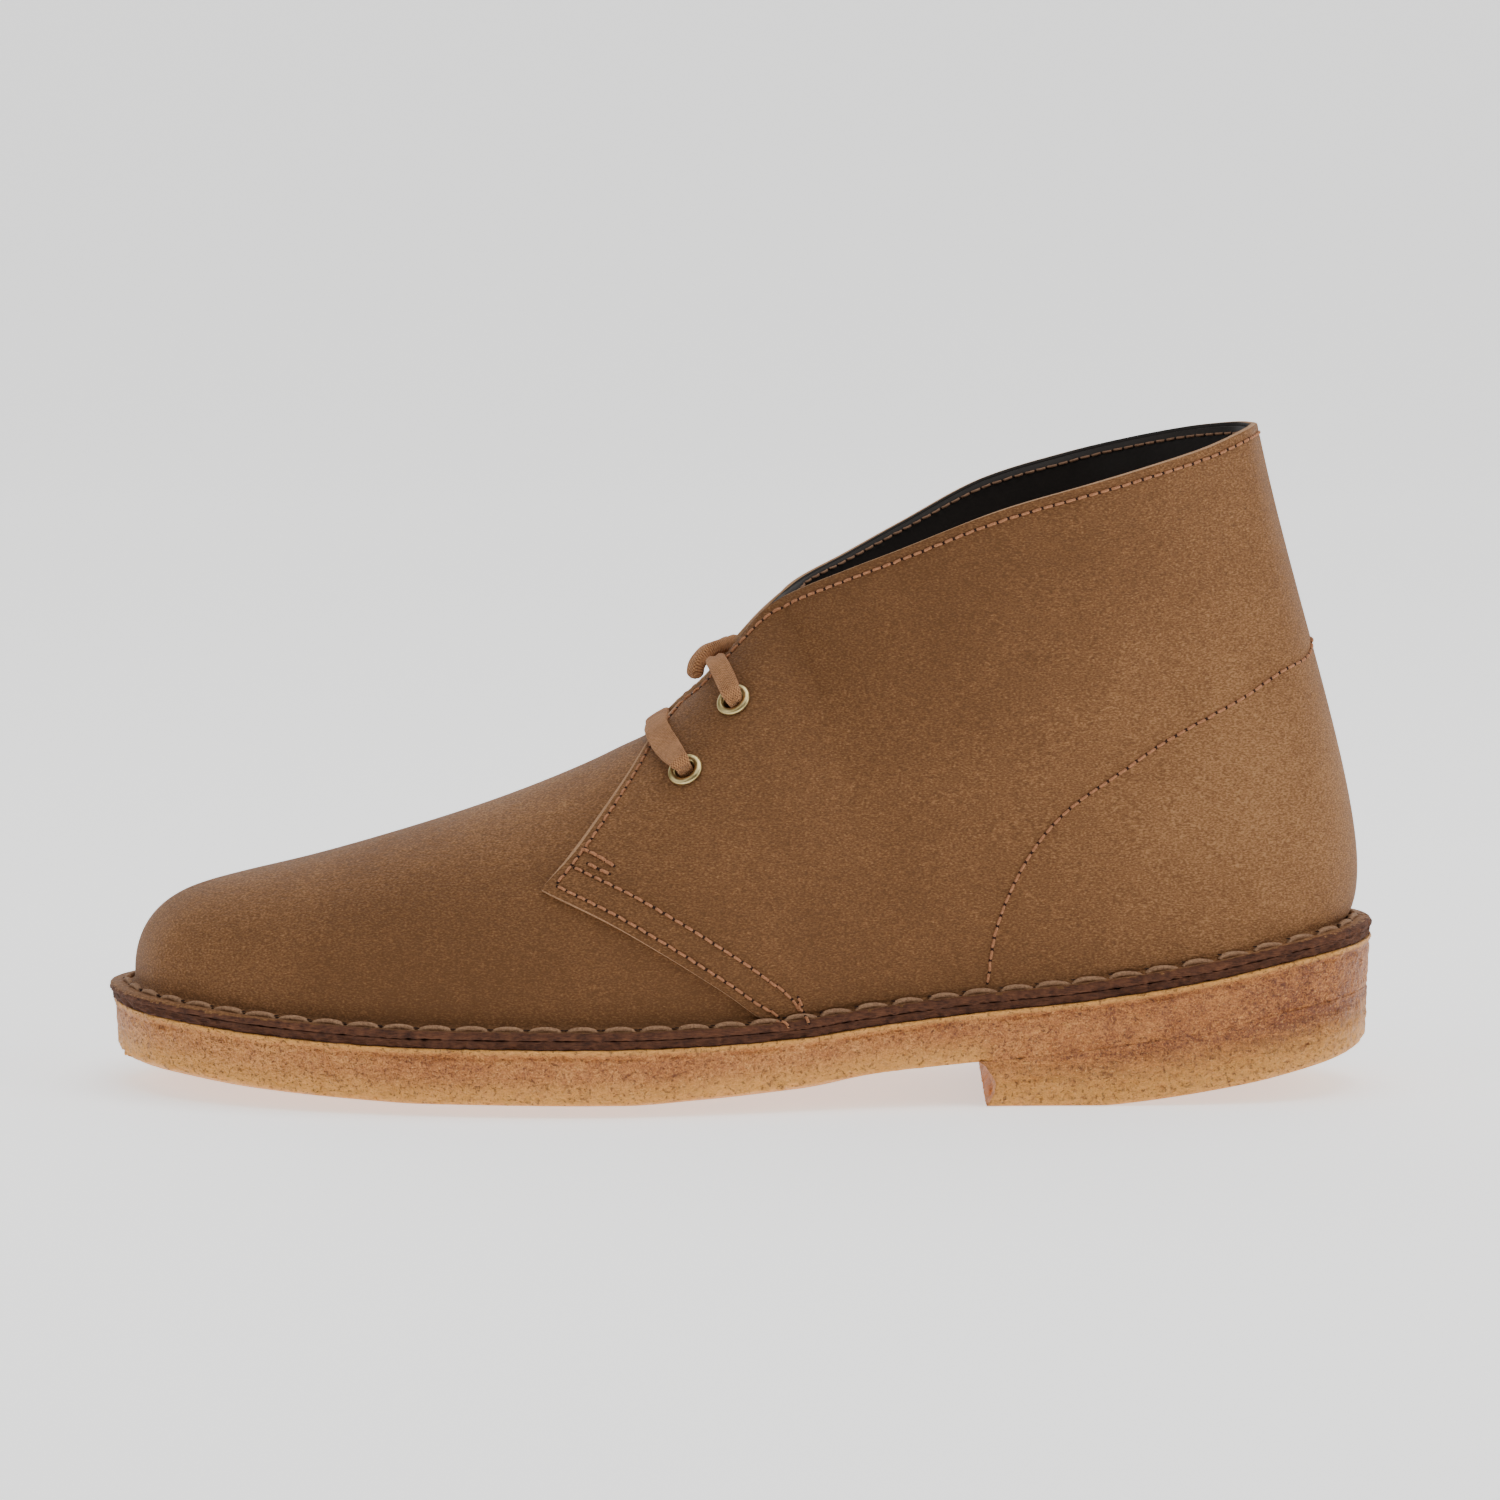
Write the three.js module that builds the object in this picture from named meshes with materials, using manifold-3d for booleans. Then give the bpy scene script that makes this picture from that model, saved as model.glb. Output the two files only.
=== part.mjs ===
import * as THREE from "three";
import Module from "manifold-3d";

// A left desert boot, standing empty on its crepe sole. Millimetres, +Z up. It is modelled with the toe
// tip at X = 0, the heel at +X and the medial side at +Y, and moved over the middle of its box at the end.

// Driving sizes of the sole
const soleLength = 300;
const ballWidth = 102;
const heelWidth = 69;
const seatHeight = 36.3; // floor to the top of the crepe at the back
const crepeThickness = 13.1; // crepe sheet at its edge, under the ball
const edgeLift = 3; // how far the crepe's bottom edge curls up off the floor
const toeLift = 4.1; // how far the front of the sheet rises
const heelLength = 92; // heel lift, from its breast to the back
const breastHollow = 3; // hollow ground into the breast
const heelRocker = 11; // how far the back of the lift clears the floor
const heelCurve = 1.26; // 1 for a straight slope up from the flat of the lift
const midsoleThickness = 1.8;

// Driving sizes of the upper
const backHeight = 158; // floor to the collar at the back seam
const flangeWidth = 5.4; // leather turned out over the midsole and stitched down
const flangeThickness = 1.7;
const wallThickness = 1.5; // vamp leather, and the lining side of the quarters
const quarterRise = 1.4; // quarters lie on the vamp, this much proud of it
const throatGap = 11; // between the two quarters, over the tongue
const collarWidth = 60; // across the top opening
const heelBulge = 8.9; // how the back swells over its foot, and leans in under the collar
const heelLean = 10.1;
const insoleThickness = 3;
const gap = 0.3; // between pieces that touch

// Driving sizes of the tongue and of what fastens the boot
const tongueThickness = 1.7;
const tongueDrop = 2.2; // room between the quarters and the tongue for the lace
const eyeletOuter = 8;
const eyeletBore = 4.8;
const eyeletMetal = 0.5;
const eyeletSteps = 16;
const eyeletRoll = 0.5; // barrel rolled out inside the quarter
const laceWidth = 6;
const laceThickness = 1.6;
const laceStand = 3.9; // how far the bar stands off the quarter before it turns

const stations = 46; // along each side of the boot, from the toe tip to the back seam
const wallRows = 9; // up the wall of the upper

// Outline of the sole from above: half widths on either side of the heel's axis, as shares of the ball's
// width in front of the breast and of the heel's width behind it.
const outlineRows = [
  { at: 0.023, lateral: 0.155, medial: 0.24, of: ballWidth },
  { at: 0.057, lateral: 0.258, medial: 0.328, of: ballWidth },
  { at: 0.1, lateral: 0.338, medial: 0.392, of: ballWidth },
  { at: 0.16, lateral: 0.413, medial: 0.446, of: ballWidth },
  { at: 0.223, lateral: 0.462, medial: 0.477, of: ballWidth },
  { at: 0.31, lateral: 0.501, medial: 0.49, of: ballWidth },
  { at: 0.39, lateral: 0.51, medial: 0.447, of: ballWidth },
  { at: 0.47, lateral: 0.48, medial: 0.385, of: ballWidth },
  { at: 0.547, lateral: 0.427, medial: 0.336, of: ballWidth },
  { at: 0.617, lateral: 0.381, medial: 0.311, of: ballWidth },
  { at: 0.69, lateral: 0.52, medial: 0.466, of: heelWidth },
  { at: 0.77, lateral: 0.507, medial: 0.493, of: heelWidth },
  { at: 0.87, lateral: 0.49, medial: 0.478, of: heelWidth },
  { at: 0.925, lateral: 0.447, medial: 0.432, of: heelWidth },
  { at: 0.977, lateral: 0.292, medial: 0.278, of: heelWidth },
];
const toeShift = 0.05; // toe tip, to the medial side, share of the ball's width

// Crepe sheet from the side: rise to the seat, lift at the toe, thickness at the edge and belly below it.
const sheetRows = [
  { at: 0.0, rise: 0, lift: 1, thick: 0.89, belly: 0.6 },
  { at: 0.057, rise: 0, lift: 0.73, thick: 0.93, belly: 0.9 },
  { at: 0.12, rise: 0, lift: 0.38, thick: 0.96, belly: 1.0 },
  { at: 0.22, rise: 0, lift: 0.05, thick: 0.99, belly: 1.0 },
  { at: 0.25, rise: 0, lift: 0, thick: 1, belly: 1.0 },
  { at: 0.41, rise: 0, lift: 0, thick: 1, belly: 1.0 },
  { at: 0.47, rise: 0.015, lift: 0, thick: 0.94, belly: 1.0 },
  { at: 0.547, rise: 0.071, lift: 0, thick: 0.88, belly: 1.0 },
  { at: 0.6, rise: 0.168, lift: 0, thick: 0.86, belly: 0.7 },
  { at: 0.68, rise: 0.301, lift: 0, thick: 0.9, belly: 0 },
  { at: 0.77, rise: 0.436, lift: 0, thick: 0.92, belly: 0 },
  { at: 0.87, rise: 0.671, lift: 0, thick: 0.92, belly: 0 },
  { at: 0.925, rise: 0.847, lift: 0, thick: 0.92, belly: 0 },
  { at: 0.977, rise: 0.97, lift: 0, thick: 0.92, belly: 0 },
  { at: 1.0, rise: 1, lift: 0, thick: 0.92, belly: 0 },
];

// Crest of the vamp, edge of the throat and collar, in order from the toe box to the back seam. side is
// the share of the way round the feather line whose wall rises to this row, at its place along the boot,
// lateral and medial its height as shares of the back's, gape the half gap between the quarters, open
// the collar's half width, lean how far the wall stands up there, and shift the crest's to the medial.
const crestRows = [
  { side: 0.0, at: 0.08, lateral: 0.306, medial: 0.306, gape: 0, open: 0, lean: 0, shift: 0.05 },
  { side: 0.147, at: 0.112, lateral: 0.321, medial: 0.321, gape: 0, open: 0, lean: 0, shift: 0.048 },
  { side: 0.205, at: 0.152, lateral: 0.339, medial: 0.339, gape: 0, open: 0, lean: 0, shift: 0.045 },
  { side: 0.264, at: 0.207, lateral: 0.368, medial: 0.368, gape: 0, open: 0, lean: 0, shift: 0.042 },
  { side: 0.346, at: 0.293, lateral: 0.42, medial: 0.42, gape: 0, open: 0, lean: 0, shift: 0.037 },
  { side: 0.413, at: 0.367, lateral: 0.475, medial: 0.475, gape: 0, open: 0, lean: 0, shift: 0.033 },
  { side: 0.455, at: 0.415, lateral: 0.52, medial: 0.52, gape: 0, open: 0, lean: 0, shift: 0.03 },
  { side: 0.484, at: 0.447, lateral: 0.563, medial: 0.563, gape: 0.5, open: 0, lean: 0.03, shift: 0.027 },
  { side: 0.52, at: 0.475, lateral: 0.608, medial: 0.608, gape: 0.95, open: 0, lean: 0.1, shift: 0.023 },
  { side: 0.555, at: 0.502, lateral: 0.673, medial: 0.674, gape: 1, open: 0, lean: 0.24, shift: 0.02 },
  { side: 0.585, at: 0.524, lateral: 0.724, medial: 0.723, gape: 1, open: 0.05, lean: 0.42, shift: 0.01 },
  { side: 0.61, at: 0.545, lateral: 0.752, medial: 0.758, gape: 1, open: 0.26, lean: 0.56, shift: 0 },
  { side: 0.64, at: 0.583, lateral: 0.788, medial: 0.793, gape: 1, open: 0.55, lean: 0.7, shift: 0 },
  { side: 0.675, at: 0.627, lateral: 0.825, medial: 0.836, gape: 1, open: 0.77, lean: 0.83, shift: 0 },
  { side: 0.74, at: 0.7, lateral: 0.884, medial: 0.906, gape: 1, open: 0.98, lean: 0.95, shift: 0 },
  { side: 0.8, at: 0.765, lateral: 0.921, medial: 0.943, gape: 1, open: 1, lean: 1, shift: 0 },
  { side: 0.85, at: 0.82, lateral: 0.95, medial: 0.97, gape: 1, open: 0.86, lean: 1, shift: 0 },
  { side: 0.9, at: 0.868, lateral: 0.976, medial: 0.99, gape: 1, open: 0.58, lean: 1, shift: 0 },
  { side: 0.95, at: 0.896, lateral: 0.996, medial: 0.998, gape: 1, open: 0.3, lean: 1, shift: 0 },
  { side: 1.0, at: 0.9045, lateral: 1, medial: 1, gape: 0, open: 0, lean: 1, shift: 0 },
];

// Quarter from the side: its front edge, from the collar down to its corner, and then its lower edge
// back to the feather line. Shares of the sole's length and of the back's height.
const quarterRows = [
  { at: 0.56, height: 0.9 },
  { at: 0.508, height: 0.7 },
  { at: 0.461, height: 0.588 },
  { at: 0.434, height: 0.533 },
  { at: 0.414, height: 0.481 },
  { at: 0.391, height: 0.42 },
  { at: 0.372, height: 0.373 },
  { at: 0.352, height: 0.325 },
  { at: 0.399, height: 0.283 },
  { at: 0.435, height: 0.245 },
  { at: 0.467, height: 0.207 },
  { at: 0.5, height: 0.163 },
  { at: 0.535, height: 0.1 },
  { at: 0.55, height: 0.02 },
];
const eyeletRows = [
  { name: "lower", at: 0.46, height: 0.492 },
  { name: "upper", at: 0.498, height: 0.59 },
];

// Smooth value of one column of a table at a place along its first column
function tableValue(rows, key, column, place) {
  const last = rows.length - 1;
  if (place <= rows[0][key]) return rows[0][column];
  if (place >= rows[last][key]) return rows[last][column];
  let i = 0;
  while (rows[i + 1][key] < place) i++;
  const slope = (k) => {
    if (k <= 0 || k >= last) return 0;
    const before = (rows[k][column] - rows[k - 1][column]) / (rows[k][key] - rows[k - 1][key]);
    const after = (rows[k + 1][column] - rows[k][column]) / (rows[k + 1][key] - rows[k][key]);
    return before * after <= 0 ? 0 : (2 * before * after) / (before + after);
  };
  const edge = (k, other) => (k === 0 || k === last
    ? (rows[other][column] - rows[k][column]) / (rows[other][key] - rows[k][key])
    : slope(k));
  const span = rows[i + 1][key] - rows[i][key];
  const t = (place - rows[i][key]) / span;
  const a = edge(i, i + 1) * span;
  const b = edge(i + 1, i) * span;
  const from = rows[i][column];
  const to = rows[i + 1][column];
  return from + t * (a + t * (3 * (to - from) - 2 * a - b + t * (a + b - 2 * (to - from))));
}

// Sole outline, as one closed curve from the toe tip along the lateral side to the heel and back
const outlinePoints = [
  new THREE.Vector3(0, toeShift * ballWidth, 0),
  ...outlineRows.map((row) => new THREE.Vector3(row.at * soleLength, -row.lateral * row.of, 0)),
  new THREE.Vector3(soleLength, 0, 0),
  ...outlineRows.map((row) => new THREE.Vector3(row.at * soleLength, row.medial * row.of, 0)).reverse(),
];
const outline = new THREE.CatmullRomCurve3(outlinePoints, true, "centripetal");
const outlineSteps = 720;
const outlineRing = outline.getPoints(outlineSteps);
const heelStep = outlineSteps / 2;

// The outline moved inwards, sampled at equal steps from the toe tip to the back on each side
function sideLine(side, inset, count) {
  const points = [];
  for (let k = 0; k <= heelStep; k++) {
    const at = side < 0 ? k : (outlineSteps - k) % outlineSteps;
    const here = outlineRing[at];
    const before = outlineRing[(at + outlineSteps - 1) % outlineSteps];
    const after = outlineRing[(at + 1) % outlineSteps];
    const along = after.clone().sub(before).normalize();
    points.push(new THREE.Vector3(here.x - along.y * inset, here.y + along.x * inset, 0));
  }
  const lengths = [0];
  for (let k = 1; k < points.length; k++) {
    lengths.push(lengths[k - 1] + points[k].distanceTo(points[k - 1]));
  }
  const total = lengths[lengths.length - 1];
  const line = [];
  let k = 1;
  for (let i = 0; i <= count; i++) {
    const want = (total * i) / count;
    while (k < points.length - 1 && lengths[k] < want) k++;
    const t = (want - lengths[k - 1]) / (lengths[k] - lengths[k - 1]);
    line.push(points[k - 1].clone().lerp(points[k], t));
  }
  return line;
}

// Heights along the sole
const foreHeight = crepeThickness + edgeLift;
function crepeTop(x) {
  const at = x / soleLength;
  const rise = tableValue(sheetRows, "at", "rise", at);
  const lift = tableValue(sheetRows, "at", "lift", at);
  return foreHeight + (seatHeight - foreHeight) * rise + toeLift * lift;
}
function crepeBottom(x, across) {
  const at = x / soleLength;
  const thick = tableValue(sheetRows, "at", "thick", at) * crepeThickness;
  const belly = tableValue(sheetRows, "at", "belly", at) * edgeLift;
  const middle = 1 - Math.pow(Math.max(0, Math.abs(across) - 0.4) / 0.6, 2.2);
  return crepeTop(x) - thick - belly * middle;
}
const midsoleFoot = (x) => crepeTop(x) + gap;
const flangeFoot = (x) => midsoleFoot(x) + midsoleThickness + gap;
const featherHeight = (x) => flangeFoot(x) + flangeThickness;

const wasm = await Module();
wasm.setup();
const group = new THREE.Group();

// A closed solid from a list of corners and faces, with equal corners made one
function solidFrom(corners, faces) {
  const places = new Map();
  const kept = [];
  const index = corners.map((corner) => {
    const key = corner.toArray().map((value) => Math.round(value * 1e4)).join(",");
    if (!places.has(key)) {
      places.set(key, kept.length);
      kept.push(corner);
    }
    return places.get(key);
  });
  let tris = faces.map((face) => face.map((corner) => index[corner]));
  tris = tris.filter(([a, b, c]) => a !== b && b !== c && c !== a);
  let volume = 0;
  for (const [a, b, c] of tris) volume += kept[a].dot(kept[b].clone().cross(kept[c]));
  if (volume < 0) tris = tris.map(([a, b, c]) => [a, c, b]);
  const vertProperties = new Float32Array(kept.flatMap((corner) => corner.toArray()));
  const triVerts = new Uint32Array(tris.flat());
  return new wasm.Manifold(new wasm.Mesh({ numProp: 3, vertProperties, triVerts }));
}

function solidOfGeometry(geometry) {
  const flat = geometry.index ? geometry.toNonIndexed() : geometry;
  const place = flat.getAttribute("position");
  const corners = [];
  const faces = [];
  for (let i = 0; i < place.count; i++) corners.push(new THREE.Vector3().fromBufferAttribute(place, i));
  for (let i = 0; i < place.count; i += 3) faces.push([i, i + 1, i + 2]);
  return solidFrom(corners, faces);
}

function addPiece(name, solid, finish) {
  const { vertProperties, triVerts } = solid.getMesh();
  const geometry = new THREE.BufferGeometry();
  geometry.setAttribute("position", new THREE.BufferAttribute(vertProperties, 3));
  geometry.setIndex(new THREE.BufferAttribute(triVerts, 1));
  geometry.computeVertexNormals();
  const mesh = new THREE.Mesh(geometry, new THREE.MeshStandardMaterial(finish));
  mesh.name = name;
  group.add(mesh);
  return mesh;
}

// Two triangles for each cell of a grid of corner numbers
function gridFaces(grid, faces) {
  for (let i = 0; i < grid.length - 1; i++) {
    for (let j = 0; j < grid[i].length - 1; j++) {
      faces.push([grid[i][j], grid[i + 1][j], grid[i + 1][j + 1]]);
      faces.push([grid[i][j], grid[i + 1][j + 1], grid[i][j + 1]]);
    }
  }
}

// A slab that fills an outline, between a top and a bottom height worked out for each point
function slab(inset, columns, count, topHeight, bottomHeight, bottomInset) {
  const corners = [];
  const faces = [];
  const surface = (height, edgeInset) => {
    const lateral = sideLine(-1, edgeInset, count);
    const medial = sideLine(1, edgeInset, count);
    return lateral.map((near, i) => {
      const row = [];
      for (let j = 0; j <= columns; j++) {
        const point = near.clone().lerp(medial[i], j / columns);
        point.z = height(point.x, (2 * j) / columns - 1);
        row.push(corners.push(point) - 1);
      }
      return row;
    });
  };
  const top = surface(topHeight, inset);
  const bottom = surface(bottomHeight, bottomInset);
  gridFaces(top, faces);
  gridFaces(bottom.map((row) => [...row].reverse()), faces);
  for (const j of [0, columns]) {
    const wall = top.map((row, i) => (j === 0 ? [row[j], bottom[i][j]] : [bottom[i][j], row[j]]));
    gridFaces(wall.map((row) => [...row].reverse()), faces);
  }
  return solidFrom(corners, faces);
}

// A prism right across the boot, from an outline seen from the side
function sidePrism(points, fromY, toY) {
  const shape = new THREE.Shape(points.map(([x, z]) => new THREE.Vector2(x, z)));
  const geometry = new THREE.ExtrudeGeometry(shape, { depth: toY - fromY, bevelEnabled: false });
  geometry.rotateX(Math.PI / 2);
  geometry.translate(0, toY, 0);
  return solidOfGeometry(geometry);
}

// Sole
const soleInset = 0;
const soleTaper = 0.8; // the crepe's side leans in towards the floor
const crepeFinish = { color: 0xb98f5c, roughness: 0.85, metalness: 0 };
const outsole = slab(soleInset, 8, 40, crepeTop, crepeBottom, soleTaper);
addPiece("outsole", outsole, crepeFinish);

const breast = soleLength - heelLength;
const liftTop = (x) => crepeBottom(x, 0) - gap;
const liftSteps = 8;
function heelSide() {
  const points = [];
  const front = liftTop(breast) + 1;
  for (let k = 0; k <= liftSteps; k++) {
    const t = k / liftSteps;
    points.push([breast - 2 * (1 - t) + breastHollow * Math.sin(Math.PI * t), front * (1 - t)]);
  }
  const back = soleLength + 1;
  const flat = breast + 0.3 * heelLength;
  for (let k = 1; k <= liftSteps; k++) {
    const t = k / liftSteps;
    points.push([flat + (back - flat) * t, heelRocker * Math.pow(t, heelCurve)]);
  }
  points.push([back, seatHeight]);
  points.push([breast - 2, seatHeight]);
  return points;
}
const liftBlank = slab(soleTaper, 8, 40, liftTop, () => -1, soleTaper + 0.6);
const heel = liftBlank.intersect(sidePrism(heelSide(), -heelWidth, heelWidth));
addPiece("heel", heel, { color: 0x9c7146, roughness: 0.9, metalness: 0 });

const midsoleTop = (x) => midsoleFoot(x) + midsoleThickness;
const midsole = slab(0.4, 2, 40, midsoleTop, midsoleFoot, 0.4);
addPiece("midsole", midsole, { color: 0x4a3526, roughness: 0.9, metalness: 0 });

const insoleInset = flangeWidth + wallThickness + 0.8;
const insoleTop = (x) => flangeFoot(x) + insoleThickness;
const insole = slab(insoleInset, 2, 40, insoleTop, flangeFoot, insoleInset);
addPiece("insole", insole, { color: 0x5a4636, roughness: 0.8, metalness: 0 });

// Upper: feather line, crest line and the wall between them
const featherLines = { "-1": sideLine(-1, flangeWidth, stations), 1: sideLine(1, flangeWidth, stations) };
const flangeLines = { "-1": sideLine(-1, 0.5, stations), 1: sideLine(1, 0.5, stations) };
function featherPoint(side, i) {
  const point = featherLines[side][i].clone();
  point.z = featherHeight(point.x);
  return point;
}
function crestPoint(side, place) {
  const value = (column) => tableValue(crestRows, "side", column, place);
  const x = value("at") * soleLength;
  const z = (side < 0 ? value("lateral") : value("medial")) * backHeight;
  const half = Math.max((value("gape") * throatGap) / 2, (value("open") * collarWidth) / 2);
  const closed = place >= 1 || value("gape") < 0.01;
  return new THREE.Vector3(x, value("shift") * ballWidth + (closed ? 0 : side * half), z);
}
function wallColumn(side, i) {
  const place = i / stations;
  const foot = featherPoint(side, i);
  const top = crestPoint(side, place);
  const step = 0.01;
  const ahead = crestPoint(side, Math.min(1, place + step));
  const behind = crestPoint(side, Math.max(0, place - step));
  const slope = (ahead.z - behind.z) / Math.max(0.5, ahead.x - behind.x);
  const lean = tableValue(crestRows, "side", "lean", place);
  const away = new THREE.Vector2(foot.x - top.x, foot.y - top.y);
  const flat = away.length();
  away.normalize();
  const height = top.z - foot.z;
  const heelShare = THREE.MathUtils.smoothstep(place, 0.82, 1);
  const rise = height * THREE.MathUtils.lerp(THREE.MathUtils.lerp(0.62, 0.42, lean), 0.1, heelShare);
  const swell = THREE.MathUtils.lerp(0.06, -0.04, lean) * height;
  const bulge = THREE.MathUtils.lerp(swell, heelBulge, heelShare);
  const footOut = outwards(side, i);
  const footPull = foot.clone().add(new THREE.Vector3(footOut.x * bulge, footOut.y * bulge, rise));
  const across = flat * 0.55;
  const climb = away.x * across * Math.min(slope, 1.2);
  const flatPull = new THREE.Vector3(away.x * across, away.y * across, climb);
  const drop = height * THREE.MathUtils.lerp(0.4, 0.41, heelShare);
  const backLean = THREE.MathUtils.lerp(0, heelLean, heelShare);
  const inward = THREE.MathUtils.lerp(-0.5, 0, heelShare);
  const downPull = new THREE.Vector3(footOut.x * inward + backLean, footOut.y * inward, -drop);
  const topPull = top.clone().add(flatPull.lerp(downPull, lean));
  return new THREE.CubicBezierCurve3(foot, footPull, topPull, top);
}
function outwards(side, i) {
  const line = featherLines[side];
  const before = line[Math.max(0, i - 1)];
  const after = line[Math.min(line.length - 1, i + 1)];
  if (i === 0) return new THREE.Vector2(-1, 0);
  if (i === line.length - 1) return new THREE.Vector2(1, 0);
  const along = after.clone().sub(before).normalize();
  return new THREE.Vector2(-side * along.y, side * along.x);
}

// The ring of wall columns goes from the toe tip back along the lateral side and forward again
const ringSize = 2 * stations;
const ringSide = (r) => (r <= stations ? -1 : 1);
const ringStation = (r) => (r <= stations ? r : ringSize - r);
const wallPoints = [];
for (let r = 0; r < ringSize; r++) {
  const curve = wallColumn(ringSide(r), ringStation(r));
  const column = [];
  for (let v = 0; v <= wallRows; v++) column.push(curve.getPoint(v / wallRows));
  wallPoints.push(column);
}
const meets = (r) => {
  const twin = (ringSize - r) % ringSize;
  return wallPoints[r][wallRows].distanceTo(wallPoints[twin][wallRows]) < 1e-3;
};

// Normals of the wall, with both sides joined along the crest
function wallNormals() {
  const normals = wallPoints.map((column) => column.map(() => new THREE.Vector3()));
  for (let r = 0; r < ringSize; r++) {
    const next = (r + 1) % ringSize;
    for (let v = 0; v < wallRows; v++) {
      const a = wallPoints[r][v];
      const b = wallPoints[next][v];
      const c = wallPoints[next][v + 1];
      const d = wallPoints[r][v + 1];
      const face = c.clone().sub(a).cross(d.clone().sub(b));
      for (const [k, w] of [[r, v], [next, v], [next, v + 1], [r, v + 1]]) normals[k][w].add(face);
    }
  }
  for (let r = 1; r < stations; r++) {
    if (!meets(r)) continue;
    const joined = normals[r][wallRows].add(normals[ringSize - r][wallRows]);
    normals[ringSize - r][wallRows] = joined;
  }
  for (const column of normals) for (const normal of column) normal.normalize();
  return normals;
}
const normals = wallNormals();
const outSign = normals[0][2].x < 0 ? 1 : -1;
const wallAt = (r, v, offset) => wallPoints[r][v].clone().addScaledVector(normals[r][v], outSign * offset);

// A closed shell between two offsets of the wall; brim adds the corners below each column
function shell(outer, inner, brim) {
  const corners = [];
  const faces = [];
  const add = (point) => corners.push(point) - 1;
  const loops = [];
  for (let r = 0; r < ringSize; r++) {
    const loop = [];
    for (let v = wallRows; v >= 0; v--) loop.push(add(wallAt(r, v, inner)));
    for (const point of brim(r)) loop.push(add(point));
    for (let v = 0; v <= wallRows; v++) loop.push(add(wallAt(r, v, outer)));
    loops.push(loop);
  }
  loops.push(loops[0]);
  gridFaces(loops, faces);
  for (let r = 0; r < ringSize; r++) {
    const next = (r + 1) % ringSize;
    if (meets(r) && meets(next) && r !== stations && next !== stations) continue;
    const end = loops[r].length - 1;
    faces.push([loops[r][end], loops[next][end], loops[next][0]]);
    faces.push([loops[r][end], loops[next][0], loops[r][0]]);
  }
  return solidFrom(corners, faces);
}

// Stitch-down flange: the foot of the wall turned out to the edge of the sole
function flangeBrim(r) {
  const side = ringSide(r);
  const i = ringStation(r);
  const inside = wallAt(r, 0, -wallThickness);
  const edge = flangeLines[side][i].clone();
  const low = flangeFoot(edge.x);
  inside.z = flangeFoot(inside.x);
  return [
    inside,
    new THREE.Vector3(edge.x, edge.y, low),
    new THREE.Vector3(edge.x, edge.y, low + flangeThickness),
  ];
}
function quarterBrim(r) {
  const sunk = 0.6 * flangeThickness;
  const inside = wallAt(r, 0, -0.5 * wallThickness);
  const outside = wallAt(r, 0, quarterRise);
  inside.z -= sunk;
  outside.z = inside.z;
  return [inside, outside];
}
const vamp = shell(0, -wallThickness, flangeBrim);
const quarterBlank = shell(quarterRise, -0.5 * wallThickness, quarterBrim);
const quarterSide = quarterRows.map((row) => [row.at * soleLength, row.height * backHeight]);
const behind = soleLength * 1.1;
const above = backHeight * 1.2;
quarterSide.push([quarterSide[quarterSide.length - 1][0], -1]);
quarterSide.push([behind, -1]);
quarterSide.push([behind, above]);
quarterSide.push([quarterSide[0][0], above]);
const quarters = quarterBlank.intersect(sidePrism(quarterSide, -ballWidth, ballWidth));
const largest = (solid) => solid.decompose().sort((a, b) => b.volume() - a.volume())[0];
let upper = largest(vamp.add(quarters));

// Where a place seen from the side lies on the wall of one side: the point and the way out
function wallSeat(side, x, z) {
  const parts = 10;
  let best = { far: Infinity };
  const between = (grid, r, v, a, b) => {
    const next = (r + 1) % ringSize;
    const low = grid[r][v].clone().lerp(grid[next][v], a);
    return low.lerp(grid[r][v + 1].clone().lerp(grid[next][v + 1], a), b);
  };
  for (let r = 0; r < ringSize; r++) {
    if (ringSide(r) !== side || ringStation(r) === 0) continue;
    for (let v = 1; v < wallRows; v++) {
      for (let k = 0; k < parts * parts; k++) {
        const a = (k % parts) / parts;
        const b = Math.floor(k / parts) / parts;
        const point = between(wallPoints, r, v, a, b);
        const far = Math.hypot(point.x - x, point.z - z);
        if (far < best.far) best = { far, point, r, v, a, b };
      }
    }
  }
  const out = between(normals, best.r, best.v, best.a, best.b).normalize().multiplyScalar(outSign);
  return { point: best.point, out };
}

// Eyelets: a rolled flange outside the quarter, a barrel through it and a small roll inside
function eyeletSolid(seat) {
  const bore = eyeletBore / 2;
  const barrel = bore + eyeletMetal;
  const rim = eyeletOuter / 2;
  const outside = quarterRise + 0.05 + gap;
  const inside = -wallThickness - gap;
  const profile = [
    [bore, inside - 0.4],
    [barrel + eyeletRoll, inside - 0.4],
    [barrel + eyeletRoll, inside],
    [barrel, inside],
    [barrel, outside],
    [rim, outside],
    [rim, outside + 0.2],
    [rim - 0.8, outside + 0.6],
    [bore + 0.5, outside + 0.6],
    [bore, outside + 0.2],
    [bore, inside - 0.4],
  ].map(([radius, height]) => new THREE.Vector2(radius, height));
  const geometry = new THREE.LatheGeometry(profile, eyeletSteps);
  return placeOnSeat(geometry, seat);
}
function eyeletHole(seat) {
  const barrel = eyeletBore / 2 + eyeletMetal + gap;
  const rim = eyeletOuter / 2 + gap;
  const reach = 6;
  const spot = quarterRise + 0.05; // the flange presses the leather flat
  const inner = -wallThickness;
  const roll = barrel + eyeletRoll;
  const profile = [[0, -reach], [roll, -reach], [roll, inner], [barrel, inner]];
  profile.push([barrel, spot], [rim, spot], [rim, reach], [0, reach]);
  const section = profile.map(([radius, height]) => new THREE.Vector2(radius, height));
  return placeOnSeat(new THREE.LatheGeometry(section, eyeletSteps), seat);
}
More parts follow.
